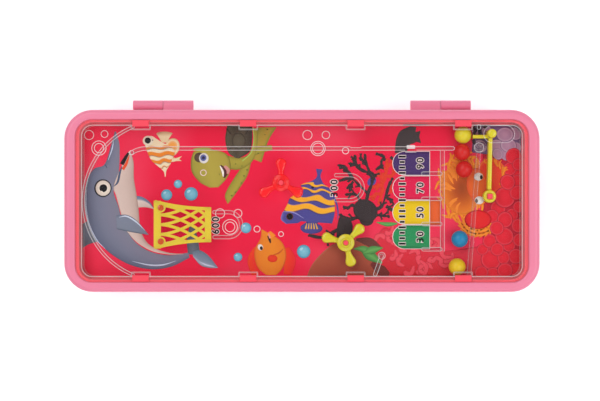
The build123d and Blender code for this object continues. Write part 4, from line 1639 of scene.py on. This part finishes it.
        for tip in ((59.6, 35.2), (59.8, 29.3), (58.6, 32.2)):
            self.stripe(1, "433B3C", [(53.4, 31.8), (56.6, 32.2), tip], [3.6, 2.6, 0.2], 20)
        self.stripe(1, "433B3C", [(51, 38.2), (57.6, 38.4), (64.6, 38.2)], [0.5, 0.6, 0.1], 20, 3)

    def twig(self, points: Sequence[Place], width: float, paint: str, layer: int,
             random: np.random.Generator) -> None:
        """One knobbly branch: a ribbon whose width strays, with a knob at its tip.

        Args:
            points: its middle line.
            width: its half width.
            paint: its colour.
            layer: its layer of ink.
            random: seeded random numbers.
        """
        widths = width * random.uniform(0.55, 1.2, len(points) * 3)
        self.stripe(layer, paint, points, list(widths), 12 * len(points), 5)
        line = smooth_line(points, 16)
        for place in random.choice(np.arange(4, 15), 3, replace=False):
            ahead = line[place + 1] - line[place - 1]
            side = random.choice((-1, 1)) * random.uniform(0.6, 1.1)
            turn = math.atan2(ahead[1], ahead[0]) + side
            steps = [tuple(line[place] + reach * np.array((math.cos(turn), math.sin(turn))))
                     for reach in (0.0, 1.3, random.uniform(2.0, 3.2))]
            self.stripe(layer, paint, steps, [0.75 * width, 0.5 * width, 0.7 * width], 10, 3)
        size = width * random.uniform(0.85, 1.2)
        self.spot(layer, paint, points[-1], (size, size * 0.8), random.uniform(0, 180),
                  sides=14)

    def reef(self) -> None:
        """The brown rock, the green weed and the dark red bed along the bottom."""
        random = np.random.default_rng(self.seed + 9)
        self.patch(
            0, across(((-1, "D63044"), (0.3, "D22C3A"), (1, "CC2834"))),
            [(36, -20.4), (41, -13.6), (45.6, -14.6), (52, -16), (66, -25), (96, -22)],
            [(37, -37.8), (41, -37.8), (52, -37.8), (60, -37.8), (72, -37.8), (96, -37.8)], 60)
        self.patch(
            2, across(((-1, "B86A52"), (-0.93, "A6523C"), (0.2, "A04C38"), (1, "984634"))),
            [(2.6, -38), (4.4, -33.4), (8, -28.4), (14.2, -22.8), (20, -20.6), (28, -19.4),
             (34, -21.6), (37, -28), (38.6, -38)],
            [(3, -38), (8, -38), (12, -38), (16, -38), (21, -38), (26, -38), (31, -38), (35, -38),
             (38, -38)], 80, 15)
        self.stripe(3, "6A3A34", [(27.4, -19.4), (34, -20.8), (39.8, -24)], [0.6, 2.2, 0.8])
        self.stripe(3, "70302C", [(35, -31.4), (40, -35), (44, -37)], [1, 2.6, 0.8])
        green = across(((-1, "3F7C42"), (0, "66A858"), (1, "4A8A4A")))
        for points, widths in (
                ([(26, -24.2), (31, -24.4), (34.6, -27.6), (40.4, -31.4)], [0.2, 1.8, 2.6, 0.4]),
                ([(31, -26.4), (35.4, -24.8), (40.8, -23.6)], [0.3, 2, 0.2]),
                ([(37.6, -10.8), (43, -11.8), (48, -11.4)], [0.2, 1.1, 0.4])):
            self.stripe(4, green, points, widths)
        pale = across(((-1, "B8222F"), (-0.7, "E4495A"), (0.6, "E8505E"), (1, "B8222F")))
        for _ in range(30):
            x, y = random.uniform(40, 72), random.uniform(-36.5, -15)
            y = min(y, -14 - max(x - 46, 0) * 0.42)
            turn, length = random.uniform(0, 2 * np.pi), random.uniform(3.0, 6.5)
            steps = [
                (x + length * (k / 3) * math.cos(turn + 0.8 * k),
                 y + length * (k / 3) * math.sin(turn + 0.8 * k)) for k in range(4)]
            kept = [(px, max(py, -36.6)) for px, py in steps]
            self.stripe(1, pale, kept, [0.7, 1.5, 1.2, 1.3, 0.5], 24, 7)

    def anemone(self) -> None:
        """The orange creature beside the rack, with waving arms and two eyes."""
        random = np.random.default_rng(self.seed + 2)
        glow = across(((-1, "E06A24"), (0, "F0922E"), (1, "E07A28")))
        centre = (80.5, 6.5)
        for index in range(54):
            angle = 2 * np.pi * index / 54 + random.uniform(-0.06, 0.06)
            reach = random.uniform(0.86, 1.16)
            steps = []
            for k in range(4):
                away = (0.6 + 0.14 * k) * reach
                swing = angle + 0.14 * math.sin(2.2 * k + index)
                steps.append(
                    (centre[0] + 12.5 * away * math.cos(swing),
                     centre[1] + 16.5 * away * math.sin(swing)))
            self.stripe(1, glow, steps, [0.9, 1, 0.8, 0.35], 14, 5)
        self.spot(
            2, along(((0, "94421C"), (0.35, "AE4C1E"), (0.75, "D26A24"), (1, "E27E28"))), centre,
            (10, 13.4), rings=14)
        for index in range(16):
            angle = random.uniform(1.7, 4.6)
            start = random.uniform(0.3, 0.6)
            steps = [
                (centre[0] + 10.5 * r * math.cos(angle + 0.2 * math.sin(6 * r)),
                 centre[1] + 14.0 * r * math.sin(angle + 0.2 * math.sin(6 * r)))
                for r in (start, start + 0.2, start + 0.42)]
            self.stripe(3, "EA8530", steps, [0.2, 0.7, 0.3], 14, 5)
        self.spot(
            2, along(((0, "E24A2A"), (0.8, "DE3B2A"), (1, "E66A30"))), (95.6, 12.6), (7.6, 9), 10,
            rings=10)
        self.spot(
            3, along(((0, "DE6A26"), (0.7, "E1622A"), (1, "D9522A"))), (88.2, 8), (5.2, 8.6), 6,
            rings=10)
        for index in range(14):
            angle = random.uniform(-1.0, 2.2)
            steps = [
                (95.6 + r * math.cos(angle + 0.25 * math.sin(r)),
                 12.6 + 1.1 * r * math.sin(angle + 0.25 * math.sin(r))) for r in (5.4, 7, 8.8)]
            self.stripe(3, glow, steps, [0.5, 0.5, 0.15], 10, 3)
        self.spot(
            4, along(((0, "DC2A28"), (0.9, "D82026"), (1, "B81820"))), (88.7, -9.4), (6.8, 4.8), 0,
            rings=6)
        for angle in np.linspace(-3.0, -0.1, 12):
            steps = [
                (88.6 + 1.15 * r * math.cos(angle + 0.35 * math.sin(1.9 * r)),
                 -9.2 + r * math.sin(angle + 0.35 * math.sin(1.9 * r)))
                for r in (4.4, 6, 7.6, 9.2)]
            self.stripe(3, glow, steps, [0.7, 0.9, 0.8, 0.3], 14, 5)
        for at, look in (((89, 12.2), 0.9), ((89.3, 0.3), -0.9)):
            self.spot(5, "ECE6E2", at, (2.3, 2))
            self.spot(6, "241C1E", (at[0] + look * 1.5, at[1] - 0.3), (0.7, 1.1), sides=20)

    def pebbles(self) -> None:
        """Red pebbles at the launcher's end, purple ones in the corner above."""
        random = np.random.default_rng(self.seed + 1)
        red = along(
            ((0, "DE2638"), (0.75, "D42031"), (0.9, "DC4152"), (0.95, "B81A2A"), (1, "9A1424")))
        purple = along(
            ((0, "B28CA4"), (0.72, "A5809C"), (0.88, "C0A2B6"), (0.94, "7C648A"), (1, "66527A")))
        self.stripe(0, "B91C33", [(101, -38), (101, 0), (101, 24)], [9.9] * 3, 12)
        self.stripe(1, "6F5A80", [(86, 31.4), (98, 30.6), (110.9, 30.4)], [7, 7.6, 7.8], 12)
        stones = (
            (95.2, -29.7, 5.3), (105.9, -7.1, 3.4), (102, -17.8, 4.9), (107.7, -27.9, 4),
            (102.3, -9.5, 4.2), (102.3, -35, 4), (108.3, -34.4, 4.2), (94.6, -20.2, 3.6),
            (102.3, 1.8, 5.4), (108.3, 4.2, 3.8), (106.5, 22.6, 4.2), (108.9, 18.4, 3.2),
            (108.9, 13.1, 3), (108.3, 10.1, 3.4), (109.2, -3, 3), (108.9, -12.5, 3.6),
            (109.5, -19.6, 3.4), (98.2, -13.7, 3.6), (91, -24.4, 3), (90.4, -36.2, 3.5),
            (98.8, -3.6, 4), (95.8, -7.7, 3.5), (103.6, 9.4, 4), (98.4, -24.4, 3.4),
            (104.4, -22.6, 3.2), (96.2, -37, 3.6), (104.8, 16.2, 3.6), (101.6, -28.6, 3.4))
        for index in random.permutation(len(stones)):
            x, y, size = stones[index]
            self.spot(
                1 + index % 6, red, (x, y), (size, size * random.uniform(0.9, 1.0)),
                random.uniform(0, 180), rings=10, sides=36)
        for at, size in (
                ((102.3, 33.4), 4.4), ((107.2, 33.8), 3.6), ((98.2, 27.6), 4), ((104, 28), 4.2),
                ((108.2, 27), 2.7), ((98.6, 23.6), 3), ((102.8, 23.2), 3.2), ((89.9, 27.6), 3.6),
                ((93.4, 34.8), 3.2), ((87.6, 34.9), 2.5)):
            self.spot(
                2 + int(size * 5) % 4, purple, at, (size, size * 0.84), size * 40, rings=10,
                sides=32)
        for turn in range(3):
            swirl = [
                (89.9 + (2.9 - 0.45 * k) * math.cos(k * 0.9 + turn * 2.1),
                 27.6 + (2.5 - 0.4 * k) * math.sin(k * 0.9 + turn * 2.1)) for k in range(6)]
            self.stripe(6, "6A4A78", swirl, [0.2, 0.2], 40, 3)
        for points in (
                [(86.4, 37.4), (87.4, 35.6), (86.6, 33.4)],
                [(88.8, 37.6), (89.6, 35), (89.2, 32.8)], [(91.4, 37.6), (93.4, 37)],
                [(86.2, 30.8), (87.2, 28.4)]):
            self.stripe(6, "3F343F", points, [0.7, 0.9, 0.4], 16, 5)

    def bubbles(self) -> None:
        """Blue bubbles with a highlight, and the white outlines of others."""
        blue = along(((0, "84C2D4"), (0.6, "70B2C8"), (1, "4A94B2")))
        for at, size in (
                ((-62.4, 8.5), 2.1), ((-68.1, 3), 2.8), ((-55.8, 3.5), 3.4), ((-28.2, -13.6), 2.7),
                ((-32.2, -28.3), 2.2), ((0.9, -25.5), 3.4)):
            self.spot(5, blue, at, size, rings=6)
            glint = (at[0] - size * 0.35, at[1] + size * 0.38)
            self.spot(6, "A9DCEB", glint, (size * 0.3, size * 0.2), 35)
        rings = (
            ((-107.2, 33.2), 2.5), ((-99.4, 33.7), 1.9), ((-102.2, 26.6), 3.8),
            ((-102.2, 26.6), 2.5), ((2.8, 33.2), 2.5), ((12.1, 33.2), 2.1), ((8.1, 26.4), 3.8),
            ((8.1, 26.4), 2.9), ((22, 25.3), 1.8), ((-41.2, -6.3), 2.5), ((-32.2, -6.3), 2.2),
            ((-36.2, -13.1), 3.9), ((-36.2, -13.1), 2.6), ((-22.6, -14.2), 1.7),
            ((-10.5, -16.7), 1.4), ((-49.6, 14.2), 1.6))
        for at, size in rings:
            self.spot(6, "F3D6D8", at, size, inner=1 - 0.36 / size, sides=48)

    def scores(self) -> None:
        """Four score fields, each round at one end, and a column of plain bars over them."""
        right = (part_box("score_rack")[0][0] / MM + 3.8) / ART_SPREAD
        left = right - self.field_length
        pitch, top = self.score_rows()
        for index, code in enumerate(("483268", "DA1C4C", "E4C018", "2A8E57")):
            y = top - (index + 0.5) * pitch
            for grow, paint, layer in ((0.32, "F5E6E4", 5), (0, code, 6)):
                half = pitch / 2 - 0.35 + grow
                u = np.linspace(0, 1, 60)
                x = left - grow + u * (right - left + 2 * grow)
                bulge = np.clip((x - (left - grow)) / (half * 1.02), 0, 1)
                width = half * np.sqrt(np.clip(1 - (1 - bulge) ** 2, 1e-5, 1))
                v = np.linspace(-1, 1, 5)
                grid = np.stack([np.repeat(x[:, None], 5, 1), y + width[:, None] * v], -1)
                uu, vv = np.meshgrid(u, v, indexing="ij")
                self.skin.add_flat((lifted(grid, self.level(layer)), uu, vv), paint)
        for index in range(self.bars):
            y = top - 2.8 - index * (4 * pitch - 5.6) / (self.bars - 1)
            reach = 1.2 + 0.35 * math.cos(2.4 * index)
            for width, code, layer in ((0.85, "F5E9E6", 7), (0.52, "191518", 8)):
                ends = reach + width / 2
                self.stripe(
                    layer, code, [(left + 4.7 - ends, y), (left + 4.7 + ends, y)], [width, width],
                    6, 3)
        self.stripe(
            3, "E2602C", [(right + 2.9, top - 3.0 * pitch), (right + 2.9, top - 2 * pitch)],
            [2.6, 2.6], 6, 3)

    def score_rows(self) -> tuple[float, float]:
        """Pitch and top of the score fields, in line with the rack's dividers."""
        low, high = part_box("score_rack")
        return (high[1] - low[1]) / MM / 4.12, high[1] / MM - 0.3

    def numbers(self) -> None:
        """The score numbers, black with a pale line round them, read from the -X end up."""
        pitch, top = self.score_rows()
        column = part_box("score_rack")[0][0] / MM - 1.6
        spots = [(str(90 - 20 * k), (column, top - (k + 0.5) * pitch)) for k in range(4)]
        spots += [("600", (-43.3, -12.4)), ("300", (16.4, 6.4))]
        for text, at in spots:
            for part, grow, code, layer in (("halo", 0.46, "F6E8E4", 8),
                                            ("face", 0.13, "17141A", 9)):
                self.number(text, at, grow, code, layer, f"print_{text}_{part}")

    def number(self, text: str, at: Place, grow: float, code: str, layer: int,
               name: str) -> None:
        """Set one number as a mesh of its own.

        Args:
            text: the digits.
            at: its middle.
            grow: how far its outline is pushed out, in millimetres.
            code: its colour.
            layer: its layer of ink.
            name: the piece's name.
        """
        curve = bpy.data.curves.new(name, "FONT")
        curve.body = text
        curve.size = self.digit_size
        curve.space_character = self.digit_space
        curve.offset = grow
        curve.align_x = curve.align_y = "CENTER"
        curve.resolution_u = 6
        maker = bpy.data.objects.new(name + "_curve", curve)
        mesh = bpy.data.meshes.new_from_object(maker)
        bpy.data.objects.remove(maker)
        count = len(mesh.vertices)
        flat_text = np.empty(count * 3)
        mesh.vertices.foreach_get("co", flat_text)
        across_x, up_y, _ = flat_text.reshape(-1, 3).T
        placed = np.stack([at[0] * ART_SPREAD - up_y, at[1] * ART_SPREAD + across_x,
                           np.full(count, self.level(layer))], 1) * MM
        mesh.vertices.foreach_set("co", placed.ravel())
        carry_ink(mesh, np.tile(opaque(code), count))
        mesh.materials.clear()
        mesh.materials.append(self.material)
        hand_over(name, mesh, "lid", ink=self.layer * self.ink_share)


# ------------------------------------------------------------------ studio
@dataclass
class Studio:
    """A pale floor, soft light and a camera straight above."""

    view_width: float = 302.1
    lens: float = 100.0
    sensor: float = 36.0
    aim: Place = (-0.96, 0.2)
    sky: float = 0.36
    floor_half: float = 3.0
    floor_grey: float = 0.93
    floor_glow: float = 0.32

    def build(self, rim: float) -> None:
        """Build the stage.

        Args:
            rim: the level, in millimetres, at which the view is view_width wide.
        """
        scene = bpy.context.scene
        scene.view_settings.view_transform = "Standard"
        self.floor()
        camera = bpy.data.cameras.new("camera")
        camera.lens = self.lens
        camera.sensor_width = self.sensor
        camera.clip_end = 20
        seat = bpy.data.objects.new("camera", camera)
        height = rim + self.view_width * self.lens / self.sensor
        seat.location = (self.aim[0] * MM, self.aim[1] * MM, height * MM)
        scene.collection.objects.link(seat)
        scene.camera = seat
        for name, place, size, power in (
            ("key", (-0.55, 0.75, 1.15), 1.0, 6.4),
            ("fill", (0.85, -0.35, 1.0), 1.0, 4.0),
            ("front", (0.0, -0.95, 0.9), 1.0, 3.6),
            ("left", (-0.8, 0.1, 1.25), 0.8, 3.4),
            ("right", (0.8, 0.1, 1.25), 0.8, 3.4),
        ):
            self.lamp(name, place, size, power)
        world = bpy.data.worlds.new("studio")
        world.use_nodes = True
        set_inputs(world.node_tree.nodes["Background"], Color=(1, 1, 1, 1), Strength=self.sky)
        scene.world = world

    def lamp(self, name: str, place: tuple[float, float, float], size: float,
             power: float) -> None:
        """Hang one soft light, in metres and watts, aimed at the case."""
        light = bpy.data.lights.new(name, "AREA")
        light.shape = "DISK"
        light.size = size
        light.energy = power
        holder = bpy.data.objects.new(name, light)
        holder.location = place
        direction = np.array(place) / np.linalg.norm(place)
        holder.rotation_euler = (math.acos(direction[2]), 0,
                                 math.atan2(direction[1], direction[0]) + math.pi / 2)
        bpy.context.scene.collection.objects.link(holder)

    def floor(self) -> None:
        """Lay the floor."""
        mesh = bpy.data.meshes.new("floor")
        half, grey = self.floor_half, self.floor_grey
        mesh.from_pydata([(-half, -half, 0), (half, -half, 0), (half, half, 0),
                          (-half, half, 0)], [], [(0, 1, 2, 3)])
        material, shader = blank_material("studio_paper")
        paper = place_group(material.node_tree, Effect.DRIFT, Colour=(grey, grey, grey, 1),
                            Scale=3.0, Amount=0.01)
        set_inputs(shader, Base_Color=paper, Roughness=0.9, Emission_Color=(1, 1, 1, 1),
                   Emission_Strength=self.floor_glow)
        mesh.materials.append(material)
        floor = bpy.data.objects.new("floor", mesh)
        bpy.context.scene.collection.objects.link(floor)


def clear_scene() -> None:
    """Remove whatever the file opened with."""
    for thing in list(bpy.data.objects):
        bpy.data.objects.remove(thing)


def main() -> None:
    """Build the whole case and report each piece."""
    logging.basicConfig(level=logging.INFO, format="%(name)s %(message)s")
    clear_scene()
    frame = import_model()
    nodes = frame["nodes"]
    for build in (build_drift, build_grain, build_handling):
        build()
    Studio().build(top_of("lid_shell"))
    Case().dress(nodes)
    ClearParts().dress(nodes)
    dress(nodes, ("playfield_card",), CardGround().make())
    SeaPicture(top_of("playfield_card"), Print("sea_print").make()).build()
    Balls().build()
    BasketNet().build()
    Launcher().build()
    yellow = MouldedPlastic("spinner_yellow_plastic", "D4C91E", 0.28, 0.004, 0.1, 0.2, 0.05)
    ruby = TintedPlastic("spinner_red_plastic", "F61D22", 0.62, 0.3)
    Spinner("spinner_red", "spinner_red", ruby, 90.0).build()
    Spinner("spinner_yellow", "yellow_plastic", yellow, 45.0).build()


if __name__ == "__main__":
    main()
